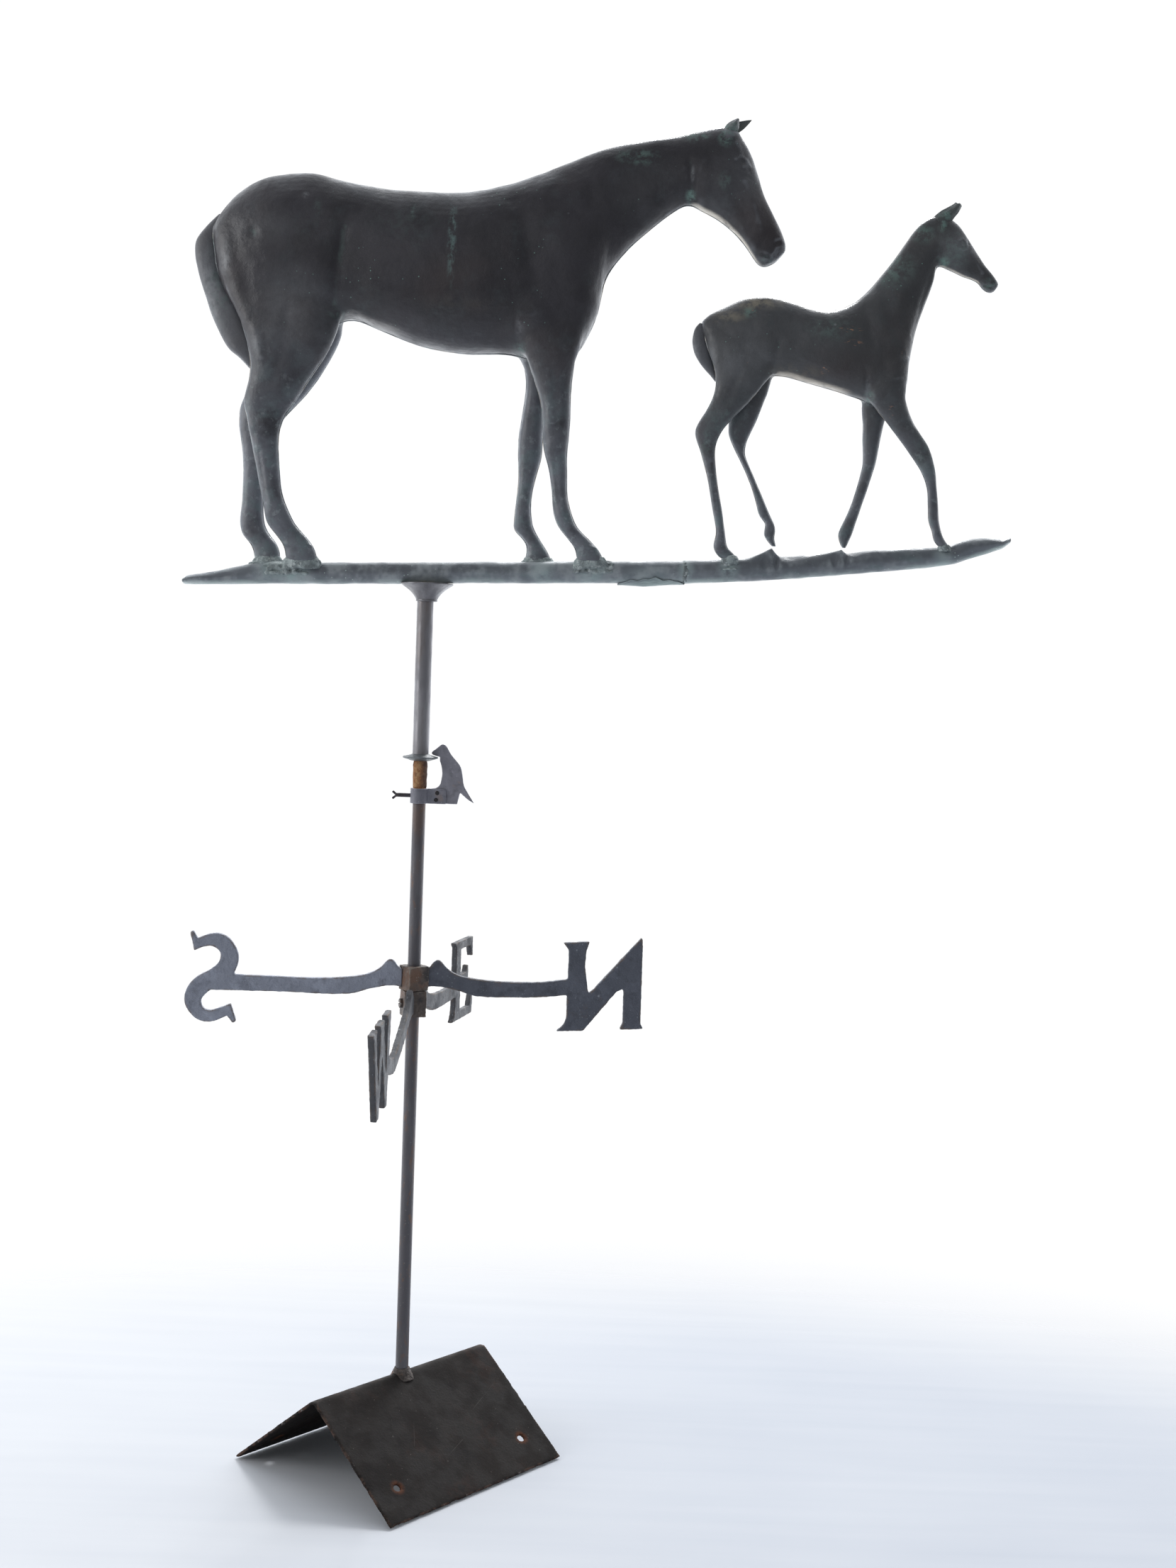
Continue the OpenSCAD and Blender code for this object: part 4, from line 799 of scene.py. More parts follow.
foal_legs = {
    "near_hind": [
        (327, 1100, 262.5, 1115, -9, 10), (328, 1078.5, 264.5, 1097.5, -9, 10),
        (317, 1065, 271.5, 1079.5, -9, 8.5), (304, 1049, 273, 1062, -8.5, 7), (291, 1035, 267.5, 1045, -8, 5.8),
        (281, 1023, 257.5, 1028, -8, 5.2), (275.5, 1010, 255.3, 1017.5, -7.5, 5),
        (274.8, 996, 261, 1002, -7.5, 4.4), (277.5, 976, 267.8, 980, -7, 3.8), (281, 958, 272, 960, -7, 3.6),
        (284.3, 942, 276, 942.5, -6.5, 3.6), (287.3, 925, 279, 925, -6.5, 4),
        (289.5, 912, 276.8, 912.5, -6.5, 4.4), (294.5, 906.6, 280, 904.6, -6.5, 4),
        (300.5, 900.8, 286.5, 899.6, -6.5, 4.6),
    ],
    "far_hind": [
        (330, 1095, 282, 1100, 9, 10), (328, 1072, 283, 1072, 9, 9), (319, 1047, 287.5, 1049, 8.5, 7.3),
        (312, 1029, 288, 1033, 8, 6), (305.5, 1014, 288.5, 1021, 8, 5.4), (304.5, 1002, 293, 1010.5, 7.5, 5),
        (310, 989.5, 303, 991.5, 7, 4.1), (316.5, 975.5, 310.5, 975.5, 7, 3.8),
        (323.5, 960.5, 316.5, 959.5, 6.5, 3.7), (330, 946, 321, 944.5, 6.5, 4), (336.8, 933, 327.5, 936, 6.5, 4.4),
        (336.2, 922, 326.5, 925, 6.5, 4), (338.5, 914.5, 334, 915, 6.5, 3.2),
    ],
    "near_fore": [
        (458, 1098, 424, 1090, -8, 10), (456.5, 1075, 418, 1062, -9, 10), (455.5, 1058, 427, 1048.5, -9, 8.5),
        (461, 1041, 440, 1034, -8.5, 7), (470, 1027, 452, 1019.5, -8, 6), (480, 1013, 464, 1004, -7.5, 5.2),
        (486.5, 994, 474.5, 989, -7.5, 4.9), (489, 977, 480, 975, -7, 4), (491.3, 960, 482, 959.5, -7, 3.7),
        (492.8, 944, 483, 944, -6.5, 3.9), (495.8, 932, 487, 934, -6.5, 4.2), (499, 925.5, 489.3, 924.5, -6.5, 4),
        (503.8, 919.6, 495.4, 917.7, -6.5, 4.3),
    ],
    "far_fore": [
        (446, 1088, 416, 1088, 9, 9), (443, 1055, 416, 1055, 9, 8), (438, 1035, 417.8, 1035, 8.5, 6.8),
        (434.7, 1018, 418.5, 1017, 8, 5.8), (432, 1000, 419.8, 1000, 8, 5.2),
        (428.5, 986.5, 417.5, 986.5, 7.5, 4.7), (423.5, 970, 413.7, 970.5, 7, 3.9),
        (418.5, 954, 409, 955, 6.5, 3.8), (413.8, 938, 404.5, 943, 6.5, 4.2), (411.5, 929.5, 398.5, 930, 6.5, 4.2),
        (408.5, 922, 399.5, 922.5, 6.5, 3.8), (405.8, 915.5, 402.5, 915.8, 6.5, 2.6),
    ],
}
foal_tail_line = [
    (259, 1124.5, 255.5, 1125.3, 0, 2), (262, 1118, 251.4, 1120, 0, 3.8), (264, 1110.5, 249.3, 1111.5, 0, 4.8),
    (266, 1104, 249.4, 1105, 0, 5), (268.5, 1094, 252.3, 1095.8, 0, 5), (271.5, 1086, 257, 1088, 0, 4.6),
    (274, 1080, 262.4, 1081.4, 0, 4), (275, 1074.5, 267.9, 1075.7, 0, 3.2), (275.5, 1070, 272.5, 1070.3, 0, 2),
]

tail_seams = {
    "mare": [(-214.5, 1204), (-214, 1188), (-212, 1172), (-210, 1162), (-205, 1151), (-199, 1141), (-189, 1125),
             (-180, 1109), (-174, 1093), (-171, 1080), (-171.5, 1066), (-172, 1054)],
    "foal": [(259.5, 1112), (262, 1105), (265.8, 1095), (269.4, 1087), (272, 1076)],
}
mare_strokes = [
    # head
    (0, [(241, 1272), (244, 1257), (242, 1243)], 5.5, -1.1), (0, [(253, 1274), (255, 1256), (252, 1240)], 8, 0.7),
    (0, [(266, 1258)], 17, 1.8), (0, [(289.5, 1271)], 9, -0.8), (0, [(290.6, 1271)], 3.4, 1.1),
    (0, [(283.5, 1277), (288, 1279.8), (293.5, 1277.4), (297, 1271.5)], 1.8, 0.8),
    (0, [(285, 1268.4), (289.5, 1264.6), (295.5, 1265)], 1.5, 0.5),
    (0, [(284, 1293), (288, 1283)], 3.0, 0.9), (0, [(293, 1256), (304, 1232), (312, 1213)], 4.5, 0.9),
    (0, [(284, 1243), (300, 1214)], 5, -0.8), (0, [(328.5, 1201)], 3.2, -0.8),
    (0, [(325.4, 1203.5), (329.5, 1206), (333, 1202)], 1.6, 0.4),
    (0, [(325.2, 1185.3), (328.4, 1192.6), (333.1, 1196.9)], 1.6, -0.4),
    (0, [(322.5, 1188), (326, 1195.5), (331, 1199.5)], 1.6, 0.3), (0, [(312, 1190), (322, 1187)], 1.5, -0.35),
    (0, [(276, 1303)], 8, 1.8),
    # neck and shoulder
    (0, [(236, 1262), (205, 1245), (160, 1212), (128, 1190)], 17, 1.6),
    (0, [(232, 1236), (200, 1203), (164, 1150)], 8, -1.2), (0, [(140, 1262), (158, 1205), (160, 1150)], 10, -1.0),
    (0, [(100, 1236), (128, 1180), (146, 1128)], 18, 2.2), (0, [(76, 1228), (92, 1176), (96, 1150)], 9, -1.2),
    (0, [(100, 1122)], 15, 2.4), (0, [(79, 1130), (83, 1112), (89, 1092)], 6.5, -0.5),
    (0, [(72, 1126), (77, 1106)], 6, 0.4),
    # barrel and quarters
    (0, [(-20, 1150), (40, 1150)], 34, 1.4), (0, [(-80, 1172)], 20, -2.4),
    (0, [(-84, 1196), (-90, 1150), (-93, 1118)], 6, -1.5),
    (0, [(-98, 1216)], 13, 1.7), (0, [(-150, 1200), (-150, 1150)], 26, 1.8),
    (0, [(-208, 1194), (-198, 1168), (-188, 1142), (-176, 1112)], 8, 0.8),
    (0, [(-192, 1196), (-184, 1168), (-172, 1130)], 8, -0.6), (0, [(-167, 1098), (-161, 1074)], 5, 1.1),
    (0, [(-112, 1120), (-118, 1090)], 12, 1.2), (0, [(-136, 1118), (-140, 1080), (-150, 1052)], 6, -0.9),
    (-1, [(-170, 1190)], 5.5, -1.3), (1, [(-60, 1185)], 7, -1.1),
    # joints, tendons and coronets
    (-1, [(-180, 1035), (-170, 1008)], 4, 0.8), (-1, [(-158, 1012)], 8, 0.9),
    (-1, [(-162, 985), (-155, 940)], 2.8, -0.7),
    (-1, [(-150, 930)], 7, 0.7), (-1, [(-110, 898), (-143, 899.5)], 1.7, 0.8),
    (1, [(-165, 1008)], 8, 0.9), (1, [(-170, 980), (-170, 940)], 2.8, -0.7), (1, [(-170, 922)], 7, 0.7),
    (1, [(-143, 900), (-170, 899)], 1.7, 0.8),
    (-1, [(122, 1001)], 8, 1.0), (-1, [(121, 985), (126, 948)], 2.6, -0.7), (-1, [(132, 936)], 7, 0.7),
    (-1, [(143, 907.5), (167, 905)], 1.7, 0.8), (-1, [(118, 1070), (122, 1020)], 4, -0.8),
    (1, [(96, 1000)], 8, 1.0), (1, [(94, 985), (92, 945)], 2.6, -0.7), (1, [(93, 932)], 7, 0.7),
    (1, [(96, 906), (117, 903)], 1.7, 0.8),
]
foal_strokes = [
    (0, [(484, 1203), (486, 1189)], 3.4, -0.7), (0, [(496, 1204)], 8, 1.1), (0, [(503.5, 1206)], 4.4, -0.5),
    (0, [(503.6, 1206)], 2.0, 0.6), (0, [(500, 1210.5), (503.6, 1212.4), (507, 1209.6), (508.2, 1204)], 1.2, 0.5),
    (0, [(501, 1202.6), (504.5, 1200.8), (507.4, 1202)], 1.0, 0.6), (0, [(509.3, 1217), (510, 1208)], 1.3, -0.8),
    (0, [(512, 1200), (524, 1181)], 2.4, 0.5), (0, [(535, 1172.6)], 1.6, -0.9),
    (0, [(527, 1169), (534, 1167.4)], 1.0, -0.6),
    (0, [(484, 1228)], 5, 1.0), (0, [(477, 1208), (462, 1180), (446, 1140)], 9, 1.0),
    (0, [(480, 1192), (470, 1160), (461, 1120)], 3.4, -0.8), (0, [(424, 1150), (440, 1100), (446, 1078)], 9, 1.1),
    (0, [(414, 1140), (420, 1108)], 5, -0.7), (0, [(426, 1082)], 8, 1.1),
    (0, [(415, 1084), (418, 1070), (421, 1057)], 3.2, -0.7),
    (-1, [(443, 1072.5), (448, 1073.5), (453, 1076.5)], 2.0, -0.5), (0, [(370, 1104)], 20, 0.7),
    (0, [(331, 1106), (328, 1080)], 4, -1.0), (0, [(318, 1132)], 10, 0.9), (0, [(290, 1120), (286, 1095)], 10, 0.9),
    (0, [(296, 1078), (284, 1050)], 4, -0.6), (-1, [(374, 1080)], 4, -0.7), (1, [(356, 1110)], 5, -0.8),
    (-1, [(266, 1016)], 4.5, 0.6), (-1, [(272, 990), (278, 945)], 1.4, -0.4), (-1, [(283, 914)], 3.6, 0.5),
    (-1, [(279, 907), (294, 909)], 1.2, 0.5), (1, [(297, 1008)], 4.5, 0.6), (1, [(331, 938)], 3.6, 0.5),
    (-1, [(480, 1000)], 5, 0.6), (-1, [(486, 980), (488, 946)], 1.4, -0.4), (-1, [(490, 932)], 3.4, 0.5),
    (1, [(425, 992)], 5, 0.6), (1, [(409, 938)], 3.4, 0.5),
]


def figure(body, legs, strokes, soft_spots, voxel, dent):
    """The joined skin of body and legs, softened where they meet, modelled and dented."""
    parts = [loft_part(body, 56, 8, 0.90, -0.05)]
    parts += [loft_part(leg, 36, 7, 0.97) for leg in legs.values()]
    skin = voxelised(mesh_from(parts), voxel)
    relax(skin, 3, 0.5)
    co = co_of(skin) / MM
    weight = np.zeros(len(co))
    for x, z, r in soft_spots:
        weight = np.maximum(weight, np.clip(1.35 - np.hypot(co[:, 0] - x, co[:, 2] - z) / r, 0, 1))
    relax(skin, int(70 * (1.1 / voxel) ** 2), 0.5 * weight, False)
    press(skin, strokes)
    co, nrm = co_of(skin), normals_of(skin)
    push = fractal(co, 34 * dent, 2, 3.0) * 0.55 * dent + fractal(co, 11 * dent, 2, 8.0) * 0.16 * dent
    set_co(skin, co + nrm * (push * MM)[:, None])
    relax(skin, 4, 0.5)
    return skin


def beads(skin, lines, radius, reach, seed):
    """Solder beads along lines of points, laid on the skin wherever it is within reach."""
    tree = BVHTree.FromPolygons([v.co for v in skin.vertices], [p.vertices for p in skin.polygons])
    parts = []
    for number, line in enumerate(lines):
        runs, run = [], []
        for p in line:
            hit, normal, _, dist = tree.find_nearest(Vector(p) * MM)
            if dist is not None and dist < reach * MM:
                run.append((np.array(hit) / MM, np.array(normal)))
            else:
                runs.append(run)
                run = []
        runs.append(run)
        for run in runs:
            if len(run) < 5:
                continue
            pts = np.array([r[0] for r in run])
            nrm = np.array([r[1] for r in run])
            for turn in range(15):
                pts[1:-1] = (pts[:-2] + pts[1:-1] * 2 + pts[2:]) / 4
                nrm[1:-1] = (nrm[:-2] + nrm[1:-1] * 2 + nrm[2:]) / 4
                if turn % 6 == 5:
                    pts = np.array([tree.find_nearest(Vector(p) * MM)[0] for p in pts]) / MM
            along = np.gradient(pts, axis=0)
            along /= np.linalg.norm(along, axis=1)[:, None] + 1e-9
            nrm -= along * (nrm * along).sum(1)[:, None]
            nrm /= np.linalg.norm(nrm, axis=1)[:, None] + 1e-9
            across = np.cross(along, nrm)
            rings = []
            for i, p in enumerate(pts):
                f = min(1.0, (i + 1) / 4, (len(pts) - i) / 4)
                r = radius * f * (1 + 0.35 * noise.noise(Vector(p) * 0.16 + Vector((seed, number, 0))))
                a = np.arange(8) * math.pi / 4
                rings.append(p + np.outer(np.cos(a), nrm[i]) * r * 0.85 + np.outer(np.sin(a), across[i]) * r * 1.25)
            parts.append(tube_part(rings))
    return mesh_from(parts)


def seam_lines(body, legs, poll):
    """Lines down the two edges of the body, the upper one only as far as the poll, and of each leg."""
    lines = []
    step = 6
    rows = curve(body, step)[step:]
    for k in (0, 2):
        part = rows[rows[:, 0] < poll] if k == 0 else rows
        lines.append(np.stack([part[:, k], part[:, 4], part[:, k + 1]], 1))
    for leg in legs.values():
        rows = curve(leg, step)[step * 2:]
        for k in (0, 2):
            lines.append(np.stack([rows[:, k], rows[:, 4], rows[:, k + 1]], 1))
    return lines


def tail_mesh(line, sides, steps, strands, depth, seed):
    """A tail of long locks: grooves run down it and drift round it a little."""
    rings = []
    rows = curve(line, steps)
    for i, (ux, uz, lx, lz, y, w) in enumerate(rows):
        f = i / (len(rows) - 1)
        ring = []
        for k in range(sides):
            a = 2 * math.pi * k / sides
            drift = 1.5 * f + 0.5 * noise.noise(Vector((seed, f * 4, 0)))
            lock = math.cos(strands * (a + drift)) + 0.5 * math.cos((strands * 2 - 1) * (a - drift * 0.6) + seed)
            swell = 1 + depth * lock * min(1, 5 * f, 4 * (1 - f)) * (1.0 if w > 3 else 0.5)
            hx, hz = (ux - lx) / 2 * swell, (uz - lz) / 2 * swell
            ring.append([(ux + lx) / 2 + hx * math.cos(a), y + w * swell * math.sin(a),
                         (uz + lz) / 2 + hz * math.cos(a)])
        rings.append(ring)
    return mesh_from([tube_part(rings)])


def leaf_part(upper, lower, y, side, cup, lean):
    """A cupped leaf of sheet between two traced edges; side is -1 or 1, the way its back bulges."""
    rows, cols, thick = 26, 15, 0.8
    f = np.linspace(0, 1, rows)

    def even(points):
        p = curve(points, 6)
        d = np.r_[0, np.cumsum(np.hypot(*np.diff(p, axis=0).T))]
        return np.stack([np.interp(f * d[-1], d, p[:, k]) for k in (0, 1)], 1)

    a, b = even(upper), even(lower)
    g = np.linspace(0, 1, cols)
    skins = []
    for inset in (0.0, thick):
        for i in range(rows):
            wide = np.hypot(*(a[i] - b[i]))
            x = a[i, 0] * (1 - g) + b[i, 0] * g
            z = a[i, 1] * (1 - g) + b[i, 1] * g
            bulge = np.minimum(cup, 0.45 * wide) * np.sin(np.pi * g) ** 1.25
            wave = np.array([0.35 * noise.noise(Vector((i * 0.25, j * 0.5, y))) for j in range(cols)])
            yy = y + side * (bulge - inset * np.sin(np.pi * np.clip(g, 0.04, 0.96)) + wave + lean * f[i])
            skins.append(np.stack([x, yy, z], 1))
    pts = np.array(skins).reshape(-1, 3)
    n = rows * cols
    faces = grid_faces(rows, cols, False)
    if side > 0:
        faces = [tuple(reversed(q)) for q in faces]
    faces += [tuple(i + n for i in reversed(q)) for q in faces]
    for i in range(rows - 1):
        p, q = i * cols, (i + 1) * cols
        faces += [(p, q, q + n, p + n), (q + cols - 1, p + cols - 1, p + cols - 1 + n, q + cols - 1 + n)]
    for j in range(cols - 1):
        p, q = j, (rows - 1) * cols + j
        faces += [(p + 1, p, p + n, p + 1 + n), (q, q + 1, q + 1 + n, q + n)]
    return pts, faces


def consistent(mesh):
    """The same mesh with every face turned outwards."""
    bm = bmesh.new()
    bm.from_mesh(mesh)
    bmesh.ops.recalc_face_normals(bm, faces=bm.faces)
    bm.to_mesh(mesh)
    bm.free()
    return mesh


def lumps(spots, skirts, voxel, rough, seed):
    """A crust of solder, skinned over and roughened: lumps at (x, y, z, long, wide, high) and skirts round soles.

    A skirt (x, y, z, long, wide, high) climbs from the bar to the sole it is centred on.
    """
    parts = []
    for x, y, z, long, wide, high in skirts:
        rings = []
        for level, flare in ((-1.6, 1.0), (0.0, 0.85), (0.35, 0.42), (0.7, 0.12), (1.0, -0.05)):
            a = np.arange(40) * 2 * np.pi / 40
            uneven = np.array([1 + 0.5 * noise.noise(Vector((math.cos(k) * 2, math.sin(k) * 2, x))) for k in a])
            out = flare * high * 0.9 * uneven
            rings.append(np.stack([x + (long + out) * np.cos(a), y + (wide + out * 0.3) * np.sin(a),
                                   z + level * high * (0.8 + 0.3 * uneven)], 1))
        parts.append(tube_part(rings))
    for number, (x, y, z, long, wide, high) in enumerate(spots):
        for k in range(9):
            key = Vector((seed + number * 3.1, k * 1.7, 0.3))
            jx, jy, jz = (noise.noise(key + Vector((s, 0, s))) for s in (0.4, 5.2, 9.9))
            cx, cy, cz = x + jx * long * 1.1, y + jy * wide * 1.1, z + jz * high * 0.7
            s = 0.52 + 0.25 * noise.noise(key * 2.3)
            bm = bmesh.new()
            bmesh.ops.create_icosphere(bm, subdivisions=3, radius=1.0)
            pts = np.array([v.co for v in bm.verts]) * [long * s, wide * s, high * (s + 0.15)] + [cx, cy, cz]
            parts.append((pts, [tuple(v.index for v in f.verts) for f in bm.faces]))
            bm.free()
    mesh = voxelised(mesh_from(parts), voxel)
    relax(mesh, 9, 0.5, False)
    co, nrm = co_of(mesh), normals_of(mesh)
    push = fractal(co, 5.0, 3, seed) * rough + fractal(co, 1.6, 2, seed + 4) * rough * 0.35
    set_co(mesh, co + nrm * (push * MM)[:, None])
    return mesh


def add_animals():
    mare_copper = copper_material(
        "mare_copper", (0.0258, 0.0240, 0.0290),
        teal_places=[((274, 0, 1298), (11, 60, 13), 0.9), ((242, 0, 1243), (7, 60, 9), 0.9),
                     ((191, 0, 1277), (30, 60, 12), 0.55),
                     ((246, 0, 1300), (18, 60, 10), 0.55), ((274, 0, 1256), (9, 60, 12), 0.5),
                     ((-20, 0, 1214), (5, 60, 16), 0.55),
                     ((-110, 0, 1212), (7, 60, 20), 0.35), ((-170, -20, 1190), (6, 60, 8), 0.5),
                     ((318, 0, 1186), (8, 60, 5), 0.5),
                     ((85, 0, 1092), (10, 60, 9), 0.45), ((-92, 0, 1118), (12, 60, 7), 0.4),
                     ((150, 0, 905), (24, 60, 18), 0.55),
                     ((-125, 0, 893), (30, 60, 16), 0.6), ((-30, 0, 1200), (60, 60, 30), 0.16)],
        pale_spots_and_highlights=[((-197, 0, 1166), (9, 80, 24), 0.75), ((-165, 0, 1088), (8, 80, 18), 0.6),
                     ((84, 0, 1110), (7, 80, 18), 0.6),
                     ((-122, 0, 1226), (5, 80, 5), 0.9), ((243, 0, 1262), (3, 80, 11), 0.8),
                     ((-175, 0, 1020), (9, 80, 22), 0.45),
                     ((258, 0, 1306), (14, 80, 5), 0.6), ((295, 0, 1274), (4, 80, 9), 0.5),
                     ((-132, 0, 1120), (62, 80, 66), 0.75), ((-160, 0, 1196), (50, 80, 32), 0.42),
                     ((288, 0, 1248), (46, 80, 60), 0.34), ((205, 0, 1238), (66, 80, 50), 0.20),
                     ((126.5, 0, 1217.5), (1.6, 80, 1.6), 0.9), ((117, 0, 1037), (2.6, 80, 1.6), 1.0),
                     ((117, 0, 1022), (5, 80, 1.4), 1.0)],
        tan_places=[((28, 0, 1130), (70, 80, 16), 0.10)],
        painted_underside_glow=[((282, 0, 1214), (54, 60, 44), (-0.54, 0, -0.84), (0.66, 0.61, 0.52)),
              ((-10, 0, 1125), (100, 60, 26), (-0.12, 0, -0.99), (0.32, 0.31, 0.30))],
        streaks=[(1244, 1132, 18, 6)], legs=(940, 1140))
    foal_copper = copper_material(
        "foal_copper", (0.048, 0.049, 0.0525),
        teal_places=[((487, 0, 1190), (8, 60, 7), 0.9), ((484, 0, 1224), (7, 60, 10), 0.7),
                     ((302, 0, 1134), (10, 60, 9), 0.7),
                     ((500, 0, 1196), (14, 60, 16), 0.35), ((532, 0, 1171), (9, 60, 8), 0.5),
                     ((268, 0, 1012), (10, 60, 20), 0.5),
                     ((420, 0, 1058), (7, 60, 10), 0.6), ((438, 0, 1182), (30, 60, 26), 0.42),
                     ((380, 0, 1120), (34, 60, 18), 0.32), ((466, 0, 1216), (16, 60, 14), 0.45),
                     ((496, 0, 1206), (20, 60, 22), 0.38), ((280, 0, 1030), (26, 60, 30), 0.3),
                     ((476, 0, 1006), (22, 60, 30), 0.25)],
        pale_spots_and_highlights=[((418, 0, 1068), (4, 80, 14), 0.6), ((509, 0, 1212), (2.5, 80, 7), 0.9),
                     ((455, 0, 1072), (8, 80, 6), 0.4),
                     ((268, 0, 1090), (7, 80, 30), 0.4), ((384, 0, 1125), (2, 80, 2), 0.8),
                     ((295, 0, 1090), (44, 80, 44), 0.62), ((500, 0, 1206), (30, 80, 30), 0.55),
                     ((360, 0, 1110), (66, 80, 36), 0.25)],
        tan_places=[((309, 0, 1144), (36, 80, 11), 0.85), ((284, 0, 1130), (22, 80, 12), 0.6),
                    ((350, 0, 1080), (40, 80, 10), 0.25)],
        scratch=[((399, -10, 1121), (16, 60, 4), ), ((402, -10, 1108), (12, 60, 4)), ((452, -10, 1100), (5, 60, 6)),
                 ((441, -10, 1046), (4, 60, 9)), ((376, -10, 1082), (5, 60, 6)), ((301, -10, 1086), (2.6, 60, 2.6)),
                 ((308, -10, 1136), (6, 60, 4))],
        painted_underside_glow=[((365, 0, 1080), (62, 60, 26), (-0.22, 0, -0.975), (0.50, 0.45, 0.38)),
              ((505, 0, 1182), (34, 60, 18), (-0.36, 0, -0.93), (0.46, 0.42, 0.36))],
        legs=(930, 1100))
    seam = seam_material()
    crust = crust_material("hoof_solder")
    ear_copper = copper_material(
        "ear_copper", (0.070, 0.078, 0.078),
        teal_places=[((276, 0, 1308), (12, 60, 9), 0.9), ((486, 0, 1234), (9, 60, 7), 0.8)],
        pale_spots_and_highlights=[((281, 0, 1312), (8, 60, 8), 0.8)])
    tail_copper = copper_material(
        "tail_copper", (0.096, 0.099, 0.110),
        pale_spots_and_highlights=[((-214, 0, 1135), (16, 60, 70), 0.7), ((252, 0, 1098), (8, 60, 30), 0.6)],
        teal_places=[((-205, 0, 1150), (20, 60, 60), 0.25)])

    for name, body, legs, strokes, spots, voxel, dent, radius in (
        ("mare", mare_body, mare_legs, mare_strokes,
         [(-98, 1112, 26), (-175, 1112, 24), (86, 1098, 20), (148, 1112, 26), (-140, 1150, 46), (120, 1130, 34),
          (243, 1240, 10), (-100, 1150, 30), (-201, 1160, 17)], 1.32, 1.0, 0.58),
        ("foal", foal_body, foal_legs, foal_strokes,
         [(326, 1078, 13), (272, 1096, 12), (418, 1064, 10), (456, 1082, 13), (300, 1092, 20), (436, 1084, 18),
          (484, 1188, 5), (268, 1115, 13)], 0.78, 0.6, 0.38),
    ):
        copper = mare_copper if name == "mare" else foal_copper
        skin = figure(body, legs, strokes, spots, voxel, dent)
        paint_shape(skin, 4)
        for side, word in ((-1, "near"), (1, "far")):
            finish_piece(f"{name}_{word}_half", half_of(skin, side), "vane", copper,
                         [f"{name}_{word}_shell"])
        lines = seam_lines(body, legs, 262 if name == "mare" else 470)
        bead = beads(skin, lines, radius, 3.4 if name == "mare" else 2.2, 1.0 if name == "mare" else 5.0)
        finish_piece(f"{name}_seams", bead, "vane", seam)
        edge = curve(tail_seams[name], 7)
        bead = beads(skin, [np.stack([edge[:, 0], np.full(len(edge), -7.0), edge[:, 1]], 1)], radius * 1.5, 12, 3.0)
        finish_piece(f"{name}_tail_seam", bead, "vane", seam)

    tail = tail_mesh(mare_tail_line, 96, 14, 3, 0.030, 2.0)
    paint_shape(tail, 3)
    finish_piece("mare_tail_locks", tail, "vane", tail_copper, ["mare_tail"])
    tail = tail_mesh(foal_tail_line, 64, 12, 3, 0.030, 6.0)
    paint_shape(tail, 3)
    finish_piece("foal_tail_locks", tail, "vane", tail_copper, ["foal_tail"])

    ears = consistent(mesh_from([
        leaf_part([(271.6, 1308.5), (274.5, 1312.6), (277.5, 1315), (284, 1318.4)],
                  [(274.6, 1300.6), (279.8, 1301.2), (284.6, 1305.8), (286, 1311.5), (285.6, 1317.8)],
                  -7.5, -1, 4.2, -1.0),
        leaf_part([(272, 1308), (276, 1314.2), (284, 1318.3), (291, 1320.2), (298.5, 1321.4)],
                  [(278, 1301), (285, 1307.2), (291.6, 1312.6), (296.5, 1318.1), (298.7, 1321.1)],
                  6.0, 1, 3.6, 1.5),
    ]))
    finish_piece("mare_ear_leaves", ears, "vane", ear_copper, ["mare_ears"])
    ears = consistent(mesh_from([
        leaf_part([(476, 1233.2), (481.9, 1238.4), (487.8, 1241.9), (493.7, 1245.4), (496, 1247.4),
                   (498.6, 1247.2)],
                  [(481, 1225.6), (488.4, 1225), (492.8, 1229), (496, 1233.8), (499, 1237.6), (502, 1244)],
                  -5.2, -1, 3.4, -1.0),
        leaf_part([(474, 1232), (480, 1237.4), (486, 1241), (491, 1244.2), (494, 1245.6)],
                  [(480, 1227), (485, 1227), (489, 1231.5), (492, 1236.5), (496, 1243.2)], 5.2, 1, 3.0, 1.0),
    ]))
    finish_piece("foal_ear_leaves", ears, "vane", ear_copper, ["foal_ears"])

    def round_bar(x0, x1, axis_z, first, last, y_side, size):
        """Lumps over the bar's skin from x0 to x1, between two angles from its top."""
        spots = []
        for k in range(int((x1 - x0) / size) + 1):
            for angle in np.arange(first, last + 1, 26):
                a = math.radians(angle) * y_side
                x = x0 + k * size + 2 * noise.noise(Vector((k, angle, x0)))
                z_axis = axis_z(x)
                spots.append((x, 9.1 * math.sin(a), z_axis + 9.1 * math.cos(a), size * 0.78, size * 0.5,
                              size * 0.30))
        return spots

    def left_axis(x):
        return 876.8 + x * math.tan(math.radians(2.2))

    def right_axis(x):
        return 886.4 + (x - 251) * math.tan(math.radians(4.9))

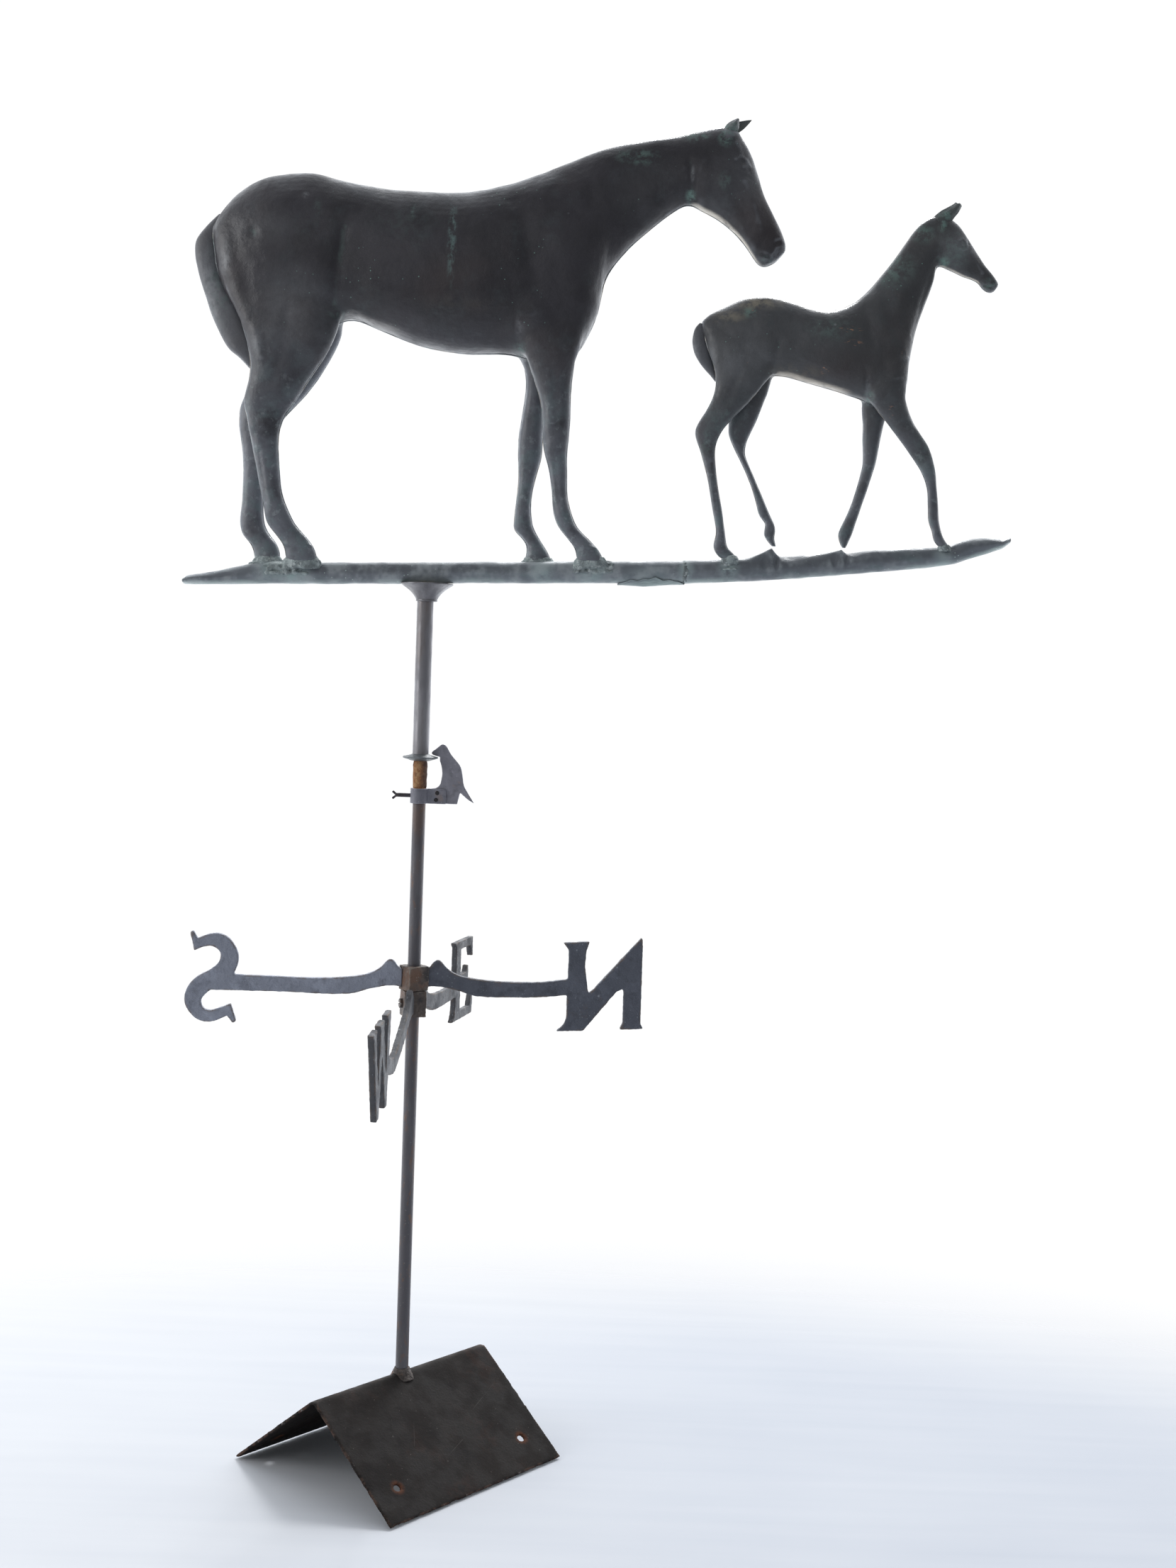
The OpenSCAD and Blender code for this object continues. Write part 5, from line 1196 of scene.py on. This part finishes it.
    blobs = lumps(
        round_bar(-150, -112, left_axis, 12, 100, -1, 8) + round_bar(-166, -142, left_axis, 6, 30, 1, 8)
        + round_bar(146, 178, left_axis, 12, 90, -1, 8) + round_bar(97, 120, left_axis, 4, 30, 1, 7)
        + [(-124, -8, 883.6, 12, 7, 1.6), (158, -8, 893.6, 12, 7, 1.6)],
        [(-119.7, -7.6, 884.2, 14.8, 6.4, 4.4), (-155.2, 7.6, 883.4, 12.3, 6.4, 4.4),
         (159, -7.6, 893.2, 13, 6.4, 4.2), (108, 7.6, 891.2, 13.4, 6.4, 4.4)],
        0.6, 0.30, 2.0)
    paint_shape(blobs, 3)
    finish_piece("mare_hoof_crust", blobs, "vane", crust, ["mare_hoof_solder"])
    blobs = lumps(
        round_bar(289, 300, right_axis, 10, 90, -1, 4.5) + round_bar(494, 502, right_axis, 10, 60, -1, 4.0)
        + [(293, -6.5, 900.0, 7, 5, 1.4), (498.5, -6.5, 918.6, 5.5, 5, 1.2)],
        [(293.4, -6.5, 900.4, 6.8, 4.6, 2.8), (499.6, -6.5, 918.6, 4.4, 4.2, 2.4)], 0.42, 0.24, 7.0)
    paint_shape(blobs, 3)
    finish_piece("foal_hoof_crust", blobs, "vane", crust, ["foal_hoof_solder"])


# ---------------------------------------------------------------- ground bar

bar_r = 10.4
left_top = [(-233.6, 862.6), (-232, 866.2), (-225, 867.6), (-205, 871.0), (-187, 875.6), (-170, 880.0),
            (-107, 883.0), (-12, 886.6),
            (106, 891.2), (173, 893.8), (248, 896.8), (251, 897.0)]
left_low = [(-233.6, 857.9), (-225, 858.0), (-209, 858.6), (-187, 859.2), (-170, 860.4), (-130, 861.6),
            (-19, 865.5),
            (28, 867.6), (107, 870.6), (196, 873.6), (237, 875.0), (251, 875.6)]
right_top = [(249, 897.4), (300, 900.6), (320, 902.4), (345, 905.2), (374, 907.2), (400, 909.6), (421, 912.6),
             (442, 914.8), (468, 917.0), (489, 918.3), (502, 919.3), (510, 923.4), (520, 926.7), (536, 929.2),
             (548, 929.2),
             (555, 928.2), (559, 930.0), (561.4, 930.6)]
right_low = [(249, 875.4), (299, 878.6), (351, 883.3), (417, 890.6), (482, 898.3), (511, 903.3), (521, 907.2),
             (542, 914.2), (556, 919.4), (560, 922.2), (561.4, 924.4)]


def at(points, x):
    p = np.asarray(points)
    return np.interp(x, p[:, 0], p[:, 1])


def bar_mesh(x0, x1, top, low, tents, flats, seed):
    """A dented tube with its ends beaten flat; tents are (x, rise, run on the left, run on the right)."""
    n_x, n_a = int((x1 - x0) / 0.9), 72
    xs = np.linspace(x0, x1, n_x)
    kernel = np.ones(5) / 5
    tops = np.convolve(np.pad(at(top, xs), 2, "edge"), kernel, "valid")
    lows = np.convolve(np.pad(at(low, xs), 2, "edge"), kernel, "valid")
    rings = []
    for i, x in enumerate(xs):
        h, cz = (tops[i] - lows[i]) / 2, (tops[i] + lows[i]) / 2
        w = min(bar_r + max(0.0, bar_r - h) * 0.50, 14.9)
        a = np.arange(n_a) * 2 * np.pi / n_a
        p_y = w * np.sign(np.sin(a)) * np.abs(np.sin(a)) ** 0.96
        p_z = cz + h * np.cos(a)
        for tx, rise, left, right in tents:
            f = 1 - (tx - x) / left if x < tx else 1 - (x - tx) / right
            if f > 0:
                lean = 0.45
                p_z = p_z + rise * f ** 1.3 * np.exp(-((((a + lean + np.pi) % (2 * np.pi)) - np.pi) / 0.55) ** 2)
        for fx, wide, depth, angle in flats:
            near = math.exp(-((x - fx) / wide) ** 2)
            g = near * depth * np.exp(-((((a - angle + np.pi) % (2 * np.pi)) - np.pi) / 0.6) ** 2)
            p_z, p_y = p_z - g * np.cos(a), p_y - g * np.sin(a)
        rings.append(np.stack([np.full(n_a, x), p_y, p_z], 1))
    mesh = mesh_from([tube_part(rings)])
    co, nrm = co_of(mesh), normals_of(mesh)
    push = fractal(co, 26, 2, seed) * 0.42 + fractal(co, 8, 2, seed + 3) * 0.14
    set_co(mesh, co + nrm * (push * MM)[:, None])
    return mesh


def add_bar():
    material = bar_material()
    crust = crust_material("splice_solder", 0.95)
    left = bar_mesh(-233.6, 251.6, left_top, left_low, [],
                    [(-195, 16, 1.4, -1.3), (-205, 12, 1.2, 1.0), (-60, 30, 0.5, -1.6), (45, 18, 0.6, -2.2),
                     (200, 12, 1.0, -1.2), (225, 9, 0.8, -2.0), (90, 24, 0.5, 1.5)], 2.0)
    paint_shape(left, 4)
    finish_piece("bar_left_tube", left, "vane", material, ["bar_left"])
    right = bar_mesh(249.6, 561.6, right_top, right_low, [(333.5, 9.4, 26, 9), (401, 4.8, 46, 6)],
                     [(352, 12, 2.0, -0.55), (380, 16, 1.6, -0.6), (414, 10, 1.2, -0.5), (508, 7, 1.6, -1.0),
                      (530, 15, 1.2, -1.7), (326, 3.6, 0.9, -1.2), (338, 2.6, 1.2, -1.1),
                      (394, 3.6, 0.9, -1.2), (405.5, 2.6, 1.0, -1.1), (300, 20, 0.6, -1.6), (450, 26, 0.6, -1.5),
                      (536, 14, 1.2, 1.4)], 9.0)
    paint_shape(right, 4)
    finish_piece("bar_right_tube", right, "vane", material, ["bar_right"])

    # Patch sheet hanging under the joint, with a torn lower edge, and the crusty ring of solder
    rows, cols = 90, 40
    outer, inner_skin = [], []
    for i in range(rows):
        x = 186 + 64 * i / (rows - 1)
        uneven = 1 + 0.35 * noise.noise(Vector((i * 0.09, 2.0, 0.0)))
        spread = 0.30 * math.sin(math.pi * (i + 0.6) / (rows + 0.2)) ** 0.4 * uneven
        cz = (at(left_top, x) + at(left_low, x)) / 2
        sag = 1.5 * math.exp(-((x - 212) / 16) ** 2) + 0.4
        for j in range(cols):
            a = math.pi * (0.5 + spread * (2 * j / (cols - 1) - 1))
            tear = 0.8 * noise.noise(Vector((x * 0.12, j * 0.3, 4.0)))
            for r, into in ((bar_r + 1.3, outer), (bar_r + 0.35, inner_skin)):
                rr = r + tear * 0.35
                into.append([x + 0.9 * noise.noise(Vector((j * 0.35, i * 0.02, 8.0))), rr * math.cos(a),
                             cz - rr * math.sin(a) - sag * math.sin(a) ** 6])
    n = rows * cols
    faces = grid_faces(rows, cols, False)
    faces += [tuple(reversed([i + n for i in f])) for f in grid_faces(rows, cols, False)]
    for i in range(rows - 1):
        a, b = i * cols, (i + 1) * cols
        faces += [(b, a, a + n, b + n), (a + cols - 1, b + cols - 1, b + cols - 1 + n, a + cols - 1 + n)]
    for j in range(cols - 1):
        a, b = j, (rows - 1) * cols + j
        faces += [(a, a + 1, a + 1 + n, a + n), (b + 1, b, b + n, b + 1 + n)]
    patch = mesh_from([(np.array(outer + inner_skin), faces)])
    finish_piece("bar_patch_sheet", patch, "vane", material, ["bar_splice"])
    rings = []
    for i in range(22):
        f = i / 21
        x = 248.4 + 4.6 * f
        cz = 886.3 + (x - 251) * 0.06
        ring = []
        for k in range(90):
            a = 2 * math.pi * k / 90
            rough = noise.fractal(Vector((x * 0.3, math.cos(a) * 3, math.sin(a) * 3)), 1.0, 2.0, 3)
            r = 10.3 + 1.0 * math.sin(math.pi * f) ** 0.6 * (0.75 + 0.75 * rough)
            ring.append([x + 1.0 * noise.noise(Vector((math.cos(a) * 2, math.sin(a) * 2, 1.5))), r * math.sin(a),
                         cz + r * math.cos(a)])
        rings.append(ring)
    ring_mesh = mesh_from([tube_part(rings)])
    paint_shape(ring_mesh, 3)
    finish_piece("bar_splice_solder", ring_mesh, "vane", crust)


# ---------------------------------------------------------------- castings, plate and fittings

def cast_copy(node, name, material, voxel, soften, rough, spare_bore=None, chips=0.0, gain=1.0,
              spare_ends=False):
    """A CAD node's shape with softened edges and a cast or worn skin.

    spare_bore keeps the noise off the rod; spare_ends keeps it off the faces that another casting turns on.
    """
    mesh = voxelised(NODES[node].data.copy(), voxel)
    relax(mesh, soften, 0.5, False)
    co, nrm = co_of(mesh), normals_of(mesh)
    seed = sum(map(ord, node)) % 17
    push = fractal(co, 7.0, 3, seed) * rough + fractal(co, 1.8, 2, seed + 5) * rough * 0.4
    if spare_bore:
        push = push * (np.hypot(co[:, 0], co[:, 1]) > spare_bore * MM)
    if spare_ends:
        push = np.where(np.abs(nrm[:, 2]) > 0.8, -0.12, push)
    set_co(mesh, co + nrm * (push * MM)[:, None])
    paint_shape(mesh, 4, gain)
    if chips:
        co, nrm = co_of(mesh), normals_of(mesh)
        edge = np.empty(len(co))
        mesh.attributes["ridge"].data.foreach_get("value", edge)
        bite = np.clip(fractal(co, 6.0, 3, seed + 2) - 0.12, 0, 1) * edge * chips
        set_co(mesh, co - nrm * (bite * MM)[:, None])
    return finish_piece(name, mesh, NODES[node]["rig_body"], material, [node])


def lathe(name, profile, centre, tilt, body, material, replaces=(), rough=0.1, seed=1.0):
    """A closed profile (radius, z) turned about an upright axis at centre, leaned by tilt degrees along x."""
    outline = curve(profile, 5)
    turns = 120
    pts = []
    for r, z in outline:
        for k in range(turns):
            a = 2 * math.pi * k / turns
            pts.append([r * math.cos(a), r * math.sin(a), z])
    pts = np.array(pts)
    c, s = math.cos(math.radians(tilt)), math.sin(math.radians(tilt))
    pts = np.stack([pts[:, 0] * c - pts[:, 2] * s, pts[:, 1], pts[:, 0] * s + pts[:, 2] * c], 1) + centre
    faces = [tuple(reversed(f)) for f in grid_faces(len(outline), turns)]
    mesh = mesh_from([(pts, faces)])
    bm = bmesh.new()
    bm.from_mesh(mesh)
    bmesh.ops.remove_doubles(bm, verts=bm.verts, dist=1e-6)
    bmesh.ops.recalc_face_normals(bm, faces=bm.faces)
    bm.to_mesh(mesh)
    bm.free()
    co, nrm = co_of(mesh), normals_of(mesh)
    push = fractal(co, 9.0, 3, seed) * rough
    set_co(mesh, co + nrm * (push * MM)[:, None])
    paint_shape(mesh, 3)
    return finish_piece(name, mesh, body, material, replaces)


def add_fittings():
    blue_iron = iron_material("letter_iron", (0.088, 0.096, 0.120))
    # painted light: a lit, paler copy of the letter iron for the south arm
    lit_iron = iron_material("letter_iron_lit", (0.240, 0.258, 0.315), 0.5, 0.2)
    # painted shade: a darker copy of the letter iron for the east and west arms, with a little more rust and fleck
    shaded_iron = iron_material("letter_iron_shaded", (0.070, 0.071, 0.078), 0.55, 0.35)
    for node, material in (("north_arm", blue_iron), ("south_arm", lit_iron), ("east_arm", shaded_iron),
                           ("west_arm", shaded_iron)):
        cast_copy(node, node + "_casting", material, 0.8, 5, 0.28)
    hub = hub_material()
    cast_copy("ns_hub", "ns_hub_casting", hub, 0.5, 6, 0.40, 9.0, spare_ends=True)
    cast_copy("ew_hub", "ew_hub_casting", hub, 0.5, 6, 0.40, 9.0, spare_ends=True)
    screw = plain_metal("set_screw_steel", (0.085, 0.080, 0.078), 0.5, 0.5, (0.16, 0.085, 0.05))
    cast_copy("ns_set_screw", "ns_set_screw_worn", screw, 0.28, 3, 0.10)
    cast_copy("ew_set_screw", "ew_set_screw_worn", screw, 0.28, 3, 0.10)

    clamp = sheet_material("keeper_steel", (0.060, 0.060, 0.070), 0.45)
    cast_copy("keeper_collar", "keeper_collar_clamp", clamp, 0.32, 4, 0.08, 7.4)
    cast_copy("keeper_figure", "keeper_figure_sheet",
              sheet_material("keeper_sheet", (0.074, 0.073, 0.084), 0.42),
              0.36, 4, 0.10)
    cast_copy("keeper_rivets", "keeper_rivet_heads",
              plain_metal("rivet_steel", (0.020, 0.020, 0.024), 0.45, 0.4, (0.06, 0.05, 0.05)), 0.2, 2, 0.05)
    cast_copy("keeper_screw", "keeper_thumb_screw",
              plain_metal("thumb_screw_steel", (0.055, 0.052, 0.062), 0.42, 0.5, (0.12, 0.085, 0.07)), 0.24, 3,
              0.06)

    tube = tube_material("tube_copper", 2.3)
    # painted shade: the funnel uses the tube copper at a lower gain, darker where it sits under the bar
    funnel = tube_material("funnel_copper", 1.65)
    flange = sheet_material("flange_copper", (0.066, 0.072, 0.076), 0.4, 1.5)
    cast_copy("tube_flange", "tube_flange_dished", flange, 0.34, 4, 0.22, 9.2)
    lathe("funnel_spun", [(8.0, 849.2), (10.2, 849.4), (10.5, 851.6), (12.6, 855.0), (17.2, 859.8), (24.6, 865.0),
                          (25.4, 866.0),
                          (24.4, 866.4), (16.2, 861.8), (11.4, 857.2), (8.4, 853.6), (7.9, 851.0), (8.0, 849.2)],
          (1.2, 0, 0), 0.0, "vane", funnel, ["funnel"], 0.16, 4.0)
    lathe("mast_rust_sleeve", [(6.2, 668.3), (6.6, 668.9), (6.85, 672), (6.75, 676), (6.95, 681), (6.8, 686),
                               (6.9, 690), (6.6, 693.2),
                               (6.2, 693.8), (6.2, 680), (6.2, 668.3)],
          (0, 0, 0), 0.0, "stand", rust_material(), (), 0.42, 7.0)

    cast_copy("ridge_saddle", "ridge_saddle_plate", saddle_material(), 1.55, 3, 0.07, None, 0.9,
              0.8)
    cast_copy("saddle_weld", "saddle_weld_bead", weld_material(), 0.4, 3, 0.55)

    for node, material in (
        ("mast_rod", rod_material()), ("rotor_tube", tube),
        ("pivot_ball", plain_metal("bearing_steel", (0.45, 0.45, 0.46), 0.25, 1.0, (0.30, 0.22, 0.16))),
        ("lower_bush", plain_metal("bush_bronze", (0.30, 0.19, 0.09), 0.45, 0.9, (0.12, 0.16, 0.12))),
        ("rotor_cap", plain_metal("cap_bronze", (0.28, 0.18, 0.09), 0.45, 0.9, (0.12, 0.16, 0.12))),
    ):
        mesh = NODES[node].data
        for i in range(max(1, len(mesh.materials))):
            if len(mesh.materials):
                mesh.materials[i] = material
            else:
                mesh.materials.append(material)


add_animals()
add_bar()
add_fittings()
